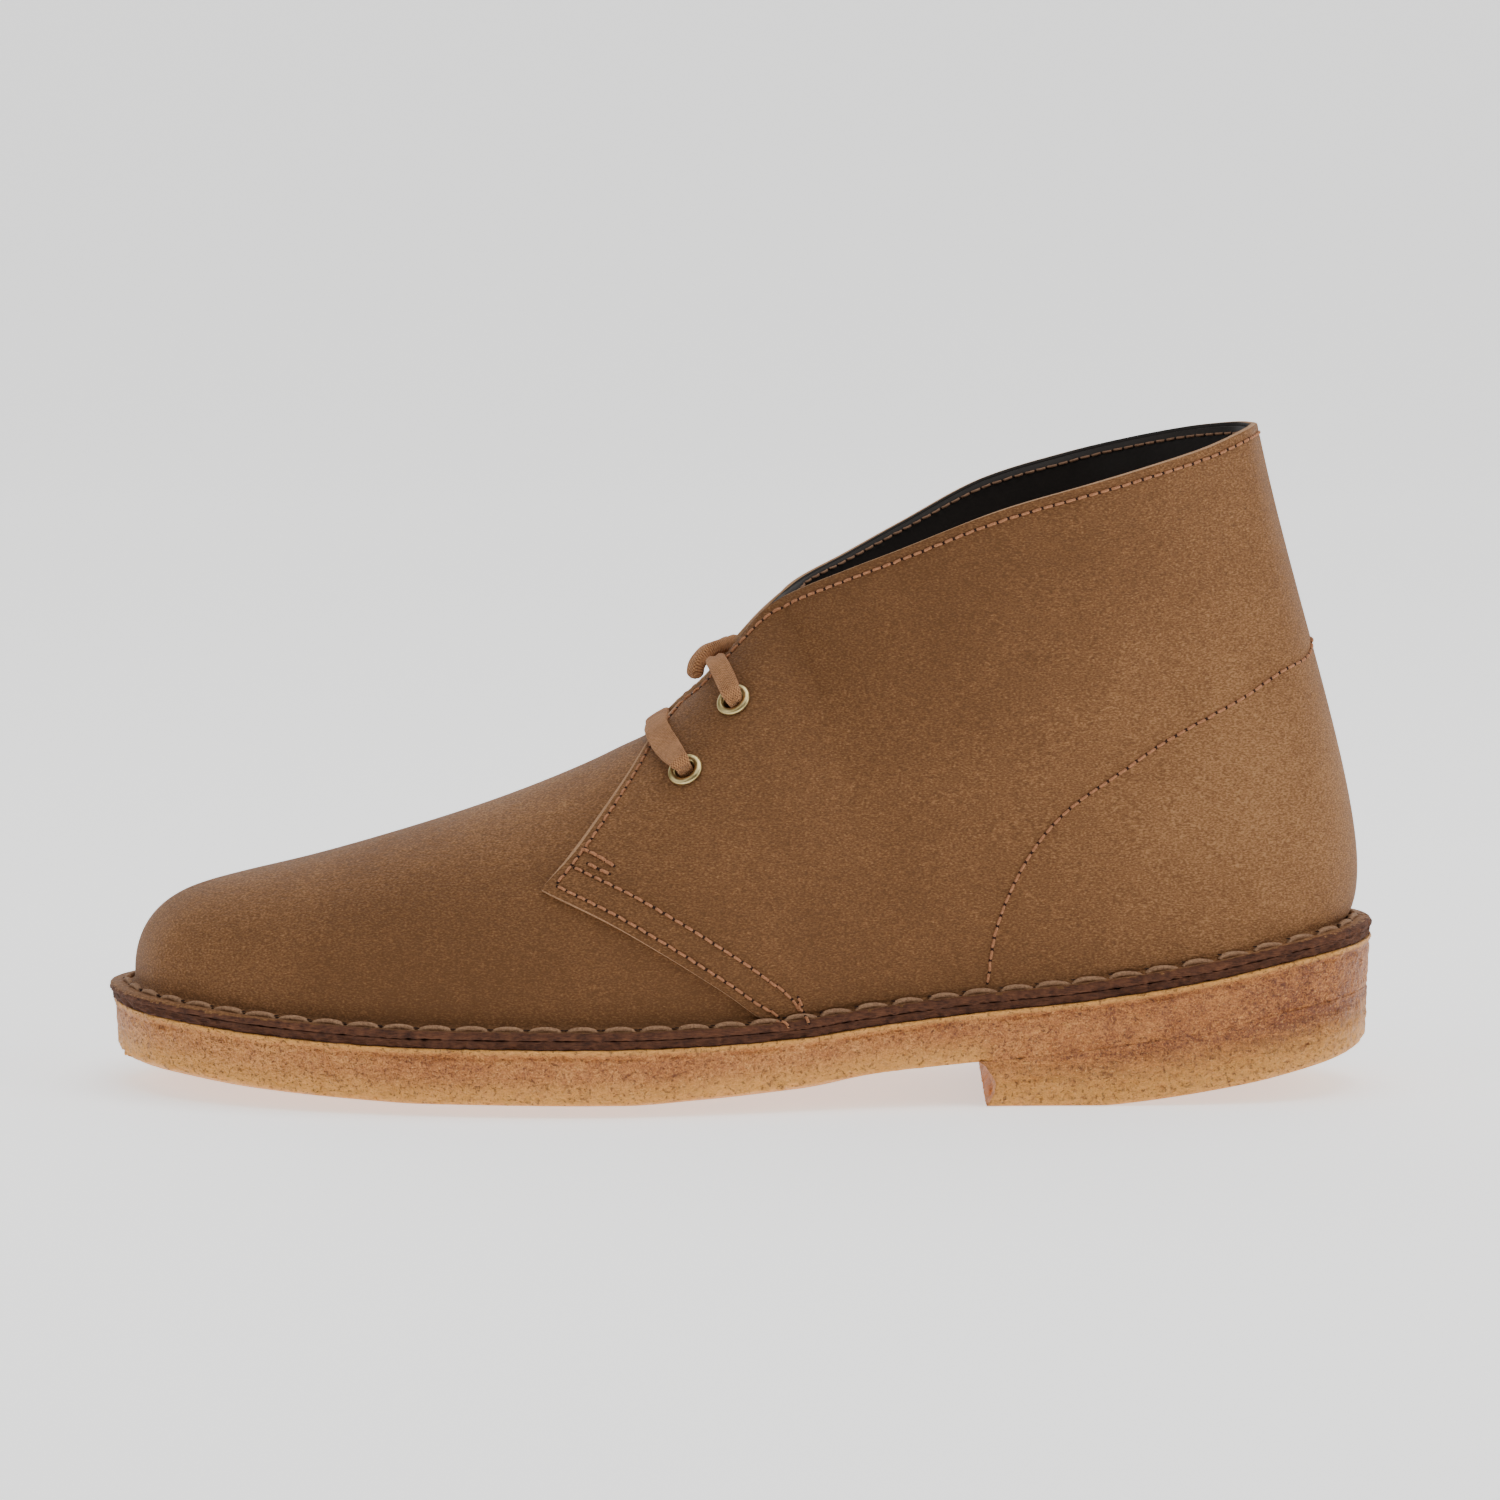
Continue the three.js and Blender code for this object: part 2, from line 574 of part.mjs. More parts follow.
function placeOnSeat(geometry, seat) {
  const turn = new THREE.Quaternion().setFromUnitVectors(new THREE.Vector3(0, 1, 0), seat.out);
  geometry.applyQuaternion(turn);
  geometry.translate(seat.point.x, seat.point.y, seat.point.z);
  return solidOfGeometry(geometry);
}
const brassFinish = { color: 0x8a7a4c, roughness: 0.35, metalness: 1 };
const sides = [{ name: "lateral", side: -1 }, { name: "medial", side: 1 }];
const seats = {};
for (const { name, side } of sides) {
  for (const row of eyeletRows) {
    const seat = wallSeat(side, row.at * soleLength, row.height * backHeight);
    upper = upper.subtract(eyeletHole(seat));
    seats[`${row.name}_${name}`] = seat;
    addPiece(`eyelet_${row.name}_${name}`, eyeletSolid(seat), brassFinish);
  }
}
addPiece("upper", upper.simplify(0.01), { color: 0x6b4a33, roughness: 0.75, metalness: 0 });

// Tongue: hangs under the throat, following the inside of the wall on both sides
const tongueFront = 0.43; // shares of the way round, where it starts and ends
const tongueEnd = 0.588;
const tongueRows = 4; // rows of the wall that it reaches down on each side
function tongueSolid() {
  const corners = [];
  const faces = [];
  const first = Math.round(tongueFront * stations);
  const last = Math.round(tongueEnd * stations);
  const surface = (extra) => {
    const rows = [];
    for (let i = first; i <= last; i++) {
      const t = (i - first) / (last - first);
      const depth = wallThickness + gap + (tongueDrop - gap) * Math.min(1, 2.5 * t) + extra;
      const row = [];
      for (let j = -tongueRows; j <= tongueRows; j++) {
        const r = j <= 0 ? i : ringSize - i;
        const v = wallRows - Math.abs(j);
        const point = wallAt(r, v, -depth);
        if (j === 0) point.y = (point.y + wallAt(ringSize - i, v, -depth).y) / 2;
        row.push(corners.push(point) - 1);
      }
      rows.push(row);
    }
    return rows;
  };
  const top = surface(0);
  const bottom = surface(tongueThickness);
  gridFaces(top, faces);
  gridFaces(bottom.map((row) => [...row].reverse()), faces);
  const width = 2 * tongueRows;
  gridFaces(top.map((row, i) => [bottom[i][0], row[0]]), faces);
  gridFaces(top.map((row, i) => [row[width], bottom[i][width]]), faces);
  gridFaces([bottom[0], top[0]], faces);
  const end = top.length - 1;
  gridFaces([top[end], bottom[end]], faces);
  return solidFrom(corners, faces);
}
addPiece("tongue", tongueSolid(), { color: 0x5f412d, roughness: 0.8, metalness: 0 });

// Laces: flat cotton, a bar across the lower eyelets and two ends that meet in a half knot over the throat
const laceSides = 8;
function ribbon(stops, steps) {
  const path = new THREE.CatmullRomCurve3(stops.map((stop) => stop.at), false, "centripetal");
  const facing = new THREE.CatmullRomCurve3(stops.map((stop) => stop.up), false, "centripetal");
  const corners = [];
  const loops = [];
  for (let k = 0; k <= steps; k++) {
    const t = k / steps;
    const along = path.getTangent(t);
    const flat = facing.getPoint(t).cross(along).normalize();
    const up = along.clone().cross(flat).normalize();
    const place = t * (stops.length - 1);
    const low = stops[Math.min(stops.length - 2, Math.floor(place))];
    const high = stops[Math.min(stops.length - 1, Math.floor(place) + 1)];
    const width = THREE.MathUtils.lerp(low.width, high.width, Math.min(1, place - Math.floor(place)));
    const loop = [];
    for (let j = 0; j < laceSides; j++) {
      const angle = (2 * Math.PI * (j + 0.5)) / laceSides;
      const round = Math.cos(Math.PI / laceSides);
      const point = path.getPoint(t);
      point.addScaledVector(flat, (Math.cos(angle) * width) / (2 * round));
      point.addScaledVector(up, (Math.sin(angle) * laceThickness) / (2 * round));
      loop.push(corners.push(point) - 1);
    }
    loop.push(loop[0]);
    loops.push(loop);
  }
  const faces = [];
  gridFaces(loops, faces);
  for (let j = 1; j < laceSides - 1; j++) {
    faces.push([loops[0][0], loops[0][j], loops[0][j + 1]]);
    faces.push([loops[steps][0], loops[steps][j + 1], loops[steps][j]]);
  }
  return solidFrom(corners, faces);
}
const boreWidth = eyeletBore - 2 * gap - 0.6; // the lace bunches up to pass an eyelet
const seatStop = (seat, lift, width) => ({ at: seat.point.clone().addScaledVector(seat.out, lift), width });
const barStops = [];
const barRows = [{ at: 0.446, height: 0.515 }, { at: 0.437, height: 0.535 }]; // between eyelet and crest
const barLift = quarterRise + laceThickness / 2 + 1.9;
const boreStops = [-wallThickness - 1, 0.4, quarterRise + 1.8, quarterRise + laceStand];
for (const { name, side } of sides) {
  const seat = seats[`lower_${name}`];
  const stops = boreStops.map((lift) => seatStop(seat, lift, boreWidth));
  for (const row of barRows) {
    const rest = wallSeat(side, row.at * soleLength, row.height * backHeight);
    stops.push(seatStop(rest, barLift, laceWidth));
  }
  barStops.push(side < 0 ? stops : stops.reverse());
}
const crestSeat = barStops[0][barStops[0].length - 1].at.clone().lerp(barStops[1][0].at, 0.5);
crestSeat.add(new THREE.Vector3(-0.9, 0, 1.4));
const lowerStops = [...barStops[0], { at: crestSeat, width: laceWidth }, ...barStops[1]];
const throatCore = new THREE.Vector3(0.5 * soleLength, 0.02 * ballWidth, 0.55 * backHeight);
const barCore = new THREE.Vector3(0.487 * soleLength, 0, 0.39 * backHeight);
const turnedOut = (stops, core) => stops.map((stop) => ({ ...stop, up: stop.at.clone().sub(core) }));
const laceFinish = { color: 0xa9785c, roughness: 0.9, metalness: 0 };
addPiece("lace_bar", ribbon(turnedOut(lowerStops, barCore), 26), laceFinish);

// Route of each lace end, from the bore of its upper eyelet over the throat to where it is tucked in
const lateralRoute = [
  [150.3, -17.0, 92.1, boreWidth],
  [149.1, -19.5, 94.1, boreWidth],
  [148.3, -20.9, 96.4, 4.4],
  [146.7, -17.5, 100.6, 4.8],
  [145.2, -13.1, 103.5, 4.8],
  [144.5, -8.4, 104.1, 4.6],
  [144.7, -4.0, 103.6, 4.4],
  [145.9, 0.3, 102.4, 4.4],
  [147.2, 4.2, 102.2, 4.0],
];
const medialRoute = [
  [149.4, 15.4, 92.2, boreWidth],
  [149.1, 18.5, 93.6, boreWidth],
  [149.0, 20.6, 96.0, 4.4],
  [149.3, 19.0, 101.5, 4.6],
  [148.5, 13.0, 105.8, 4.8],
  [146.0, 6.5, 106.0, 4.8],
  [142.3, 1.5, 105.2, 4.8],
  [139.7, -1.6, 101.6, 4.6],
  [138.3, -1.9, 98.6, 4.0],
];
const routeStops = (route) => route.map(([x, y, z, width]) => ({ at: new THREE.Vector3(x, y, z), width }));
addPiece("lace_end_lateral", ribbon(turnedOut(routeStops(lateralRoute), throatCore), 22), laceFinish);
addPiece("lace_end_medial", ribbon(turnedOut(routeStops(medialRoute), throatCore), 26), laceFinish);

const box = new THREE.Box3().setFromObject(group);
const middle = box.getCenter(new THREE.Vector3());
group.position.set(-middle.x, -middle.y, -box.min.z);
group.updateMatrixWorld(true);

export default group;
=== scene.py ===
import math
import bpy
import bmesh
import numpy as np
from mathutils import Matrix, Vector, bvhtree, kdtree, noise


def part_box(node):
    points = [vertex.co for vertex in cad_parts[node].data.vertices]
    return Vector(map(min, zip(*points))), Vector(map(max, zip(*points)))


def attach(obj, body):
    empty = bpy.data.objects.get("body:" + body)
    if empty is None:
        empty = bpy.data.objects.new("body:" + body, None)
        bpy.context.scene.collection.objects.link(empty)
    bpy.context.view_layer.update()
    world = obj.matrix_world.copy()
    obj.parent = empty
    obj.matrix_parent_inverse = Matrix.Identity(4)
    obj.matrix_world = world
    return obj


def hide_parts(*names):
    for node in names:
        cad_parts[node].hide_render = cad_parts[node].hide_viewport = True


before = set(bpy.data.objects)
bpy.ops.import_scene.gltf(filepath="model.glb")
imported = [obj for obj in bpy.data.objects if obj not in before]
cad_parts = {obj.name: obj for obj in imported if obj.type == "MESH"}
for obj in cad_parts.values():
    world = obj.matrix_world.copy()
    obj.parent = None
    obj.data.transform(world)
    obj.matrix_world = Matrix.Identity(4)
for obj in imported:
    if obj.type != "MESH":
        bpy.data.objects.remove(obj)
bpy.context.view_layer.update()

# The boot is shaped in millimetres with the toe tip at x = 0, as a last maker measures it, and each mesh
# is moved into the frame when it is made. Lateral is side -1, medial is side 1.
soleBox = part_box("outsole")

boot = {
    "length": 300.0, "ballWidth": 102.0, "heelWidth": 69.0, "seatHeight": 36.3,
    "crepe": 13.1, "edgeLift": 3.0, "toeLift": 4.1, "heelLength": 92.0, "breastHollow": 3.0,
    "heelRocker": 11.0, "heelCurve": 1.26, "midsole": 1.8, "backHeight": 158.0, "flangeWidth": 5.4,
    "flange": 1.7, "wall": 1.5, "quarterRise": 1.4, "throatGap": 11.0, "collarWidth": 60.0, "insole": 3.0,
    "gap": 0.3, "toeShift": 0.05, "heelBulge": 12.0, "heelTuck": 1.9, "heelLean": 10.1,
}

outlineRows = [
    {"at": 0.023, "lateral": 0.155, "medial": 0.24, "of": "ballWidth"},
    {"at": 0.057, "lateral": 0.258, "medial": 0.328, "of": "ballWidth"},
    {"at": 0.1, "lateral": 0.338, "medial": 0.392, "of": "ballWidth"},
    {"at": 0.16, "lateral": 0.413, "medial": 0.446, "of": "ballWidth"},
    {"at": 0.223, "lateral": 0.462, "medial": 0.477, "of": "ballWidth"},
    {"at": 0.31, "lateral": 0.501, "medial": 0.49, "of": "ballWidth"},
    {"at": 0.39, "lateral": 0.51, "medial": 0.447, "of": "ballWidth"},
    {"at": 0.47, "lateral": 0.48, "medial": 0.385, "of": "ballWidth"},
    {"at": 0.547, "lateral": 0.427, "medial": 0.336, "of": "ballWidth"},
    {"at": 0.617, "lateral": 0.381, "medial": 0.311, "of": "ballWidth"},
    {"at": 0.69, "lateral": 0.52, "medial": 0.466, "of": "heelWidth"},
    {"at": 0.77, "lateral": 0.507, "medial": 0.493, "of": "heelWidth"},
    {"at": 0.87, "lateral": 0.49, "medial": 0.478, "of": "heelWidth"},
    {"at": 0.925, "lateral": 0.447, "medial": 0.432, "of": "heelWidth"},
    {"at": 0.977, "lateral": 0.292, "medial": 0.278, "of": "heelWidth"},
]

sheetRows = {
    "at": [0.0, 0.057, 0.12, 0.22, 0.25, 0.41, 0.47, 0.547, 0.6, 0.68, 0.77, 0.87, 0.925, 0.977, 1.0],
    "rise": [0, 0, 0, 0, 0, 0, 0.015, 0.071, 0.168, 0.301, 0.436, 0.671, 0.847, 0.97, 1],
    "lift": [1, 0.73, 0.38, 0.05, 0, 0, 0, 0, 0, 0, 0, 0, 0, 0, 0],
    "thick": [0.89, 0.93, 0.96, 0.99, 1.0, 1.0, 0.94, 0.88, 0.86, 0.9, 0.92, 0.92, 0.92, 0.92, 0.92],
    "belly": [0.6, 0.9, 1.0, 1.0, 1.0, 1.0, 1.0, 1.0, 0.7, 0, 0, 0, 0, 0, 0],
}

crestRows = {
    "side": [0.0, 0.147, 0.205, 0.264, 0.346, 0.413, 0.455, 0.484, 0.52, 0.555, 0.585, 0.61, 0.64,
             0.675, 0.74, 0.8, 0.85, 0.9, 0.95, 1.0],
    "at": [0.08, 0.112, 0.152, 0.207, 0.293, 0.367, 0.415, 0.447, 0.475, 0.502, 0.524, 0.545, 0.583,
           0.627, 0.7, 0.765, 0.82, 0.868, 0.896, 0.9045],
    "lateral": [0.306, 0.321, 0.339, 0.368, 0.42, 0.475, 0.52, 0.563, 0.608, 0.673, 0.724, 0.752, 0.788,
                0.825, 0.884, 0.921, 0.95, 0.976, 0.996, 1.0],
    "medial": [0.306, 0.321, 0.339, 0.368, 0.42, 0.475, 0.52, 0.563, 0.608, 0.674, 0.723, 0.758, 0.793,
               0.836, 0.906, 0.943, 0.97, 0.99, 0.998, 1.0],
    "gape": [0, 0, 0, 0, 0, 0, 0, 0.5, 0.95, 1, 1, 1, 1, 1, 1, 1, 1, 1, 1, 0],
    "open": [0, 0, 0, 0, 0, 0, 0, 0, 0, 0, 0.05, 0.26, 0.55, 0.77, 0.98, 1, 0.86, 0.58, 0.3, 0],
    "lean": [0, 0, 0, 0, 0, 0, 0, 0.03, 0.1, 0.24, 0.42, 0.56, 0.7, 0.83, 0.95, 1, 1, 1, 1, 1],
    "shift": [0.05, 0.048, 0.045, 0.042, 0.037, 0.033, 0.03, 0.027, 0.023, 0.02, 0.01, 0, 0, 0, 0, 0,
              0, 0, 0, 0],
}


def tableValue(rows, key, column, place):
    # Monotone curve through one column of a table
    keys, values = rows[key], rows[column]
    last = len(keys) - 1
    if place <= keys[0]:
        return values[0]
    if place >= keys[last]:
        return values[last]
    i = 0
    while keys[i + 1] < place:
        i += 1

    def secant(k):
        return (values[k + 1] - values[k]) / (keys[k + 1] - keys[k])

    def slope(k):
        if k == 0:
            return secant(0)
        if k == last:
            return secant(last - 1)
        before, after = secant(k - 1), secant(k)
        return 0.0 if before * after <= 0 else 2 * before * after / (before + after)

    span = keys[i + 1] - keys[i]
    t = (place - keys[i]) / span
    a, b = slope(i) * span, slope(i + 1) * span
    start, end = values[i], values[i + 1]
    return start + t * (a + t * (3 * (end - start) - 2 * a - b + t * (a + b - 2 * (end - start))))


def smoothCurve(points, closed, count):
    # Centripetal curve through points, count samples for each span
    points = [np.array(p, float) for p in points]
    total = len(points)
    spans = total if closed else total - 1
    out = []
    for s in range(spans):
        if closed:
            quad = [points[(s + k - 1) % total] for k in range(4)]
        else:
            quad = [points[min(max(s + k - 1, 0), total - 1)] for k in range(4)]
            if s == 0:
                quad[0] = 2 * quad[1] - quad[2]
            if s == spans - 1:
                quad[3] = 2 * quad[2] - quad[1]
        steps = [max(np.linalg.norm(quad[k + 1] - quad[k]) ** 0.5, 1e-4) for k in range(3)]
        d0, d1, d2 = steps
        m1 = ((quad[1] - quad[0]) / d0 - (quad[2] - quad[0]) / (d0 + d1) + (quad[2] - quad[1]) / d1) * d1
        m2 = ((quad[2] - quad[1]) / d1 - (quad[3] - quad[1]) / (d1 + d2) + (quad[3] - quad[2]) / d2) * d1
        for k in range(count):
            t = k / count
            out.append(quad[1] + t * m1 + t * t * (3 * (quad[2] - quad[1]) - 2 * m1 - m2)
                       + t ** 3 * (2 * (quad[1] - quad[2]) + m1 + m2))
    if not closed:
        out.append(points[-1])
    return np.array(out)


def resample(line, count):
    steps = np.linalg.norm(np.diff(line, axis=0), axis=1)
    along = np.concatenate([[0], np.cumsum(steps)])
    want = np.linspace(0, along[-1], count + 1)
    return np.stack([np.interp(want, along, line[:, k]) for k in range(line.shape[1])], axis=1)


def lineLength(line):
    return float(np.linalg.norm(np.diff(line, axis=0), axis=1).sum())


# Sole outline, from the toe tip along the lateral side to the heel and back
outlinePoints = [(0.0, boot["toeShift"] * boot["ballWidth"])]
outlinePoints += [(r["at"] * boot["length"], -r["lateral"] * boot[r["of"]]) for r in outlineRows]
outlinePoints += [(boot["length"], 0.0)]
outlinePoints += [(r["at"] * boot["length"], r["medial"] * boot[r["of"]]) for r in reversed(outlineRows)]
outlineRing = smoothCurve(outlinePoints, True, 40)
heelStep = len(outlineRing) // 2
frameShift = np.array([soleBox[0][0] * 1000 - outlineRing[:, 0].min(),
                       soleBox[0][1] * 1000 - outlineRing[:, 1].min(), 0.0])


def sideLine(side, inset, count):
    # The outline moved inwards, at equal steps from the toe tip to the back
    ahead = np.roll(outlineRing, -1, axis=0)
    behind = np.roll(outlineRing, 1, axis=0)
    along = ahead - behind
    along /= np.linalg.norm(along, axis=1)[:, None]
    moved = outlineRing + inset * np.stack([-along[:, 1], along[:, 0]], axis=1)
    if side < 0:
        line = moved[:heelStep + 1]
    else:
        line = np.vstack([moved[heelStep:], moved[:1]])[::-1]
    return resample(line, count)


foreHeight = boot["crepe"] + boot["edgeLift"]


def crepeTop(x):
    at = x / boot["length"]
    rise = tableValue(sheetRows, "at", "rise", at)
    lift = tableValue(sheetRows, "at", "lift", at)
    return foreHeight + (boot["seatHeight"] - foreHeight) * rise + boot["toeLift"] * lift


def crepeBottom(x, across):
    at = x / boot["length"]
    thick = tableValue(sheetRows, "at", "thick", at) * boot["crepe"]
    belly = tableValue(sheetRows, "at", "belly", at) * boot["edgeLift"]
    middle = 1 - (max(0.0, abs(across) - 0.4) / 0.6) ** 2.2
    return crepeTop(x) - thick - belly * middle


def midsoleFoot(x):
    return crepeTop(x) + boot["gap"]


def flangeFoot(x):
    return midsoleFoot(x) + boot["midsole"] + boot["gap"]


def featherHeight(x):
    return flangeFoot(x) + boot["flange"]


# Wall of the upper: a curve from the feather line up to the crest or collar at every station
stations = 300
wallRows = 84


def outwards(line, side):
    along = np.gradient(line, axis=0)
    along /= np.linalg.norm(along, axis=1)[:, None]
    out = np.stack([-side * along[:, 1], side * along[:, 0]], axis=1)
    out[0] = (-1, 0)
    out[-1] = (1, 0)
    return out


def crestPoint(side, place):
    def value(column):
        return tableValue(crestRows, "side", column, place)
    half = max(value("gape") * boot["throatGap"] / 2, value("open") * boot["collarWidth"] / 2)
    closed = place >= 1 or value("gape") < 0.01
    z = value("lateral" if side < 0 else "medial") * boot["backHeight"]
    y = value("shift") * boot["ballWidth"] + (0 if closed else side * half)
    return np.array([value("at") * boot["length"], y, z])


def mix(a, b, t):
    return a + (b - a) * t


def smoothStep(low, high, value):
    t = np.clip((value - low) / (high - low), 0, 1)
    return t * t * (3 - 2 * t)


reachSpans = {"toe": (34, 4), "back": (262, 296)}


def endReach(x, toe, heel):
    # How far an edge goes out past the outline at the toe and at the back
    return toe * smoothStep(*reachSpans["toe"], x) + heel * smoothStep(*reachSpans["back"], x)


def wallSide(side):
    feather = sideLine(side, boot["flangeWidth"], stations)
    out = outwards(feather, side)
    feather -= out * endReach(feather[:, :1], 0, boot["heelTuck"])
    columns = []
    t = np.linspace(0, 1, wallRows + 1)[:, None]
    for i in range(stations + 1):
        place = i / stations
        foot = np.array([feather[i][0], feather[i][1], featherHeight(feather[i][0])])
        top = crestPoint(side, place)
        ahead, behind = crestPoint(side, min(1, place + 0.01)), crestPoint(side, max(0, place - 0.01))
        slope = min((ahead[2] - behind[2]) / max(0.5, ahead[0] - behind[0]), 1.2)
        lean = tableValue(crestRows, "side", "lean", place)
        away = foot[:2] - top[:2]
        flat = np.linalg.norm(away)
        away = away / flat
        height = top[2] - foot[2]
        heelShare = smoothStep(0.82, 1, place)
        rise = height * mix(mix(0.62, 0.42, lean), 0.1, heelShare)
        bulge = mix(mix(0.06, -0.04, lean) * height, boot["heelBulge"], heelShare)
        footPull = foot + np.array([out[i][0] * bulge, out[i][1] * bulge, rise])
        across = flat * 0.55
        flatPull = np.array([away[0] * across, away[1] * across, away[0] * across * slope])
        drop = height * mix(0.4, 0.41, heelShare)
        inward = mix(-0.5, 0, heelShare)
        downPull = np.array([out[i][0] * inward + boot["heelLean"] * heelShare, out[i][1] * inward, -drop])
        topPull = top + mix(flatPull, downPull, lean)
        columns.append((1 - t) ** 3 * foot + 3 * t * (1 - t) ** 2 * footPull
                       + 3 * t * t * (1 - t) * topPull + t ** 3 * top)
    return np.array(columns)


denseX = np.linspace(-2, boot["length"] + 2, 1209)
featherDense = np.array([featherHeight(x) for x in denseX])
skin = {"edge": 0.3, "round": 0.75, "flat": 7, "turn": 2.4, "arc": (0, 25, 50, 70, 90), "toeOut": 1.1,
        "heelOut": 0.9}
cornerRow = 1 + len(skin["arc"]) + skin["flat"] - 1


def skinSide(side):
    # One column at every station: edge of the flange, its top, the turn up and the wall
    wall = wallSide(side)
    edge = sideLine(side, skin["edge"], stations)
    edge += outwards(edge, side) * endReach(edge[:, :1], skin["toeOut"], skin["heelOut"])
    foot = wall[:, 0, :2]
    wide = boot["flangeWidth"] - skin["edge"]
    r = skin["round"]
    steps = [(0, boot["flange"])]
    for a in np.radians(skin["arc"]):
        steps.append((r * (1 - math.cos(a)) / wide, r * (1 - math.sin(a))))
    steps += [(r / wide + (1 - r / wide) * k / skin["flat"], 0) for k in range(1, skin["flat"])]
    rows = []
    for share, drop in steps:
        flat = mix(edge, foot, share)
        rows.append(np.column_stack([flat, np.interp(flat[:, 0], denseX, featherDense) - drop]))
    columns = np.concatenate([np.stack(rows, axis=1), wall], axis=1)
    turn = skin["turn"]
    for column in columns:
        along = np.concatenate([[0], np.cumsum(np.linalg.norm(np.diff(column, axis=0), axis=1))])
        along -= along[cornerRow]
        near = np.abs(along) < turn
        low = np.array([np.interp(-turn, along, column[:, k]) for k in range(3)])
        high = np.array([np.interp(turn, along, column[:, k]) for k in range(3)])
        t = ((along[near] + turn) / (2 * turn))[:, None]
        column[near] = (1 - t) ** 2 * low + 2 * t * (1 - t) * column[cornerRow] + t * t * high
    return columns


lateralSkin, medialSkin = skinSide(-1), skinSide(1)
skinRing = np.concatenate([lateralSkin, medialSkin[1:-1][::-1]])
ringSize = 2 * stations


def ringNormals(ring):
    after = np.roll(ring, -1, axis=0)
    a, b, c, d = ring[:, :-1], after[:, :-1], after[:, 1:], ring[:, 1:]
    face = np.cross(c - a, d - b)
    total = np.zeros_like(ring)
    total[:, :-1] += face
    total[:, 1:] += face
    total[:, :-1] += np.roll(face, 1, axis=0)
    total[:, 1:] += np.roll(face, 1, axis=0)
    for r in range(0, stations + 1):
        twin = (ringSize - r) % ringSize
        if np.linalg.norm(ring[r, -1] - ring[twin, -1]) < 1e-3:
            total[r, -1] = total[twin, -1] = total[r, -1] + total[twin, -1]
    return total / np.linalg.norm(total, axis=2)[:, :, None]


skinNormal = ringNormals(skinRing)
if skinNormal[0, cornerRow + 10, 0] > 0:
    skinNormal = -skinNormal


def onSkin(side, place, row, offset=0.0):
    # Points at a share of the way round and up: row 0 to 1 is the wall, -1 to 0 the flange
    place, row, offset = np.broadcast_arrays(np.asarray(place, float), np.asarray(row, float), offset)
    r = np.clip(place, 0, 1) * stations
    if side > 0:
        r = (ringSize - r) % ringSize
    v = np.where(row < 0, cornerRow * (1 + np.maximum(row, -1)), cornerRow + np.minimum(row, 1) * wallRows)
    r0 = np.floor(r).astype(int) % ringSize
    v0 = np.minimum(np.floor(v).astype(int), cornerRow + wallRows - 1)
    a, b = (r - np.floor(r))[..., None], (v - v0)[..., None]
    r1 = (r0 + 1) % ringSize

    def blend(grid):
        low = grid[r0, v0] * (1 - a) + grid[r1, v0] * a
        high = grid[r0, v0 + 1] * (1 - a) + grid[r1, v0 + 1] * a
        return low * (1 - b) + high * b
    out = blend(skinNormal)
    out = out / np.linalg.norm(out, axis=-1)[..., None]
    return blend(skinRing) + out * offset[..., None], out


def findOnSide(side, x, z):
    # Place and row of the wall point seen at x, z from the side
    wall = lateralSkin if side < 0 else medialSkin
    flat = wall[:, cornerRow:, [0, 2]]
    near = np.argmin(((flat - (x, z)) ** 2).sum(axis=2))
    at = np.array([near // flat.shape[1] / stations, near % flat.shape[1] / wallRows])
    step = 0.002
    for _ in range(12):
        at = np.clip(at, 0.002, 0.998)
        here = onSkin(side, at[0], at[1])[0][[0, 2]]
        dp = (onSkin(side, at[0] + step, at[1])[0][[0, 2]] - here) / step
        dv = (onSkin(side, at[0], at[1] + step)[0][[0, 2]] - here) / step
        grid = np.array([dp, dv]).T
        if abs(np.linalg.det(grid)) < 1:
            break
        at = at + np.clip(np.linalg.solve(grid, (x, z) - here), -0.05, 0.05)
    return at


print("wall of the upper worked out")


# Mesh making
def makeMesh(name, points, faces, material, faceMaterials=None, extra=(), uv=None, smooth=True):
    data = bpy.data.meshes.new(name)
    world = (np.asarray(points, float) + frameShift) / 1000
    data.from_pydata([tuple(p) for p in world], [], faces)
    piece = bpy.data.objects.new(name, data)
    bpy.context.scene.collection.objects.link(piece)
    for m in (material,) + tuple(extra):
        data.materials.append(m)
    if faceMaterials is not None:
        data.polygons.foreach_set("material_index", faceMaterials)
    if uv is not None:
        layer = data.uv_layers.new(name="strip")
        corners = np.zeros(len(data.loops), int)
        data.loops.foreach_get("vertex_index", corners)
        layer.data.foreach_set("uv", np.asarray(uv, float)[corners].ravel())
    work = bmesh.new()
    work.from_mesh(data)
    if uv is None:
        bmesh.ops.remove_doubles(work, verts=work.verts, dist=2e-6)
        thin = [f for f in work.faces if f.calc_area() < 1e-14]
        bmesh.ops.delete(work, geom=thin, context="FACES_ONLY")
    bmesh.ops.recalc_face_normals(work, faces=work.faces)
    work.to_mesh(data)
    work.free()
    data.polygons.foreach_set("use_smooth", [smooth] * len(data.polygons))
    data.update()
    return piece


def gridFaces(rows, columns, start=0, wrapColumns=False, wrapRows=False):
    faces = []
    for i in range(rows if wrapRows else rows - 1):
        for j in range(columns if wrapColumns else columns - 1):
            a = start + i * columns + j
            b = start + ((i + 1) % rows) * columns + j
            c = start + ((i + 1) % rows) * columns + (j + 1) % columns
            d = start + i * columns + (j + 1) % columns
            faces.append((a, b, c, d))
    return faces


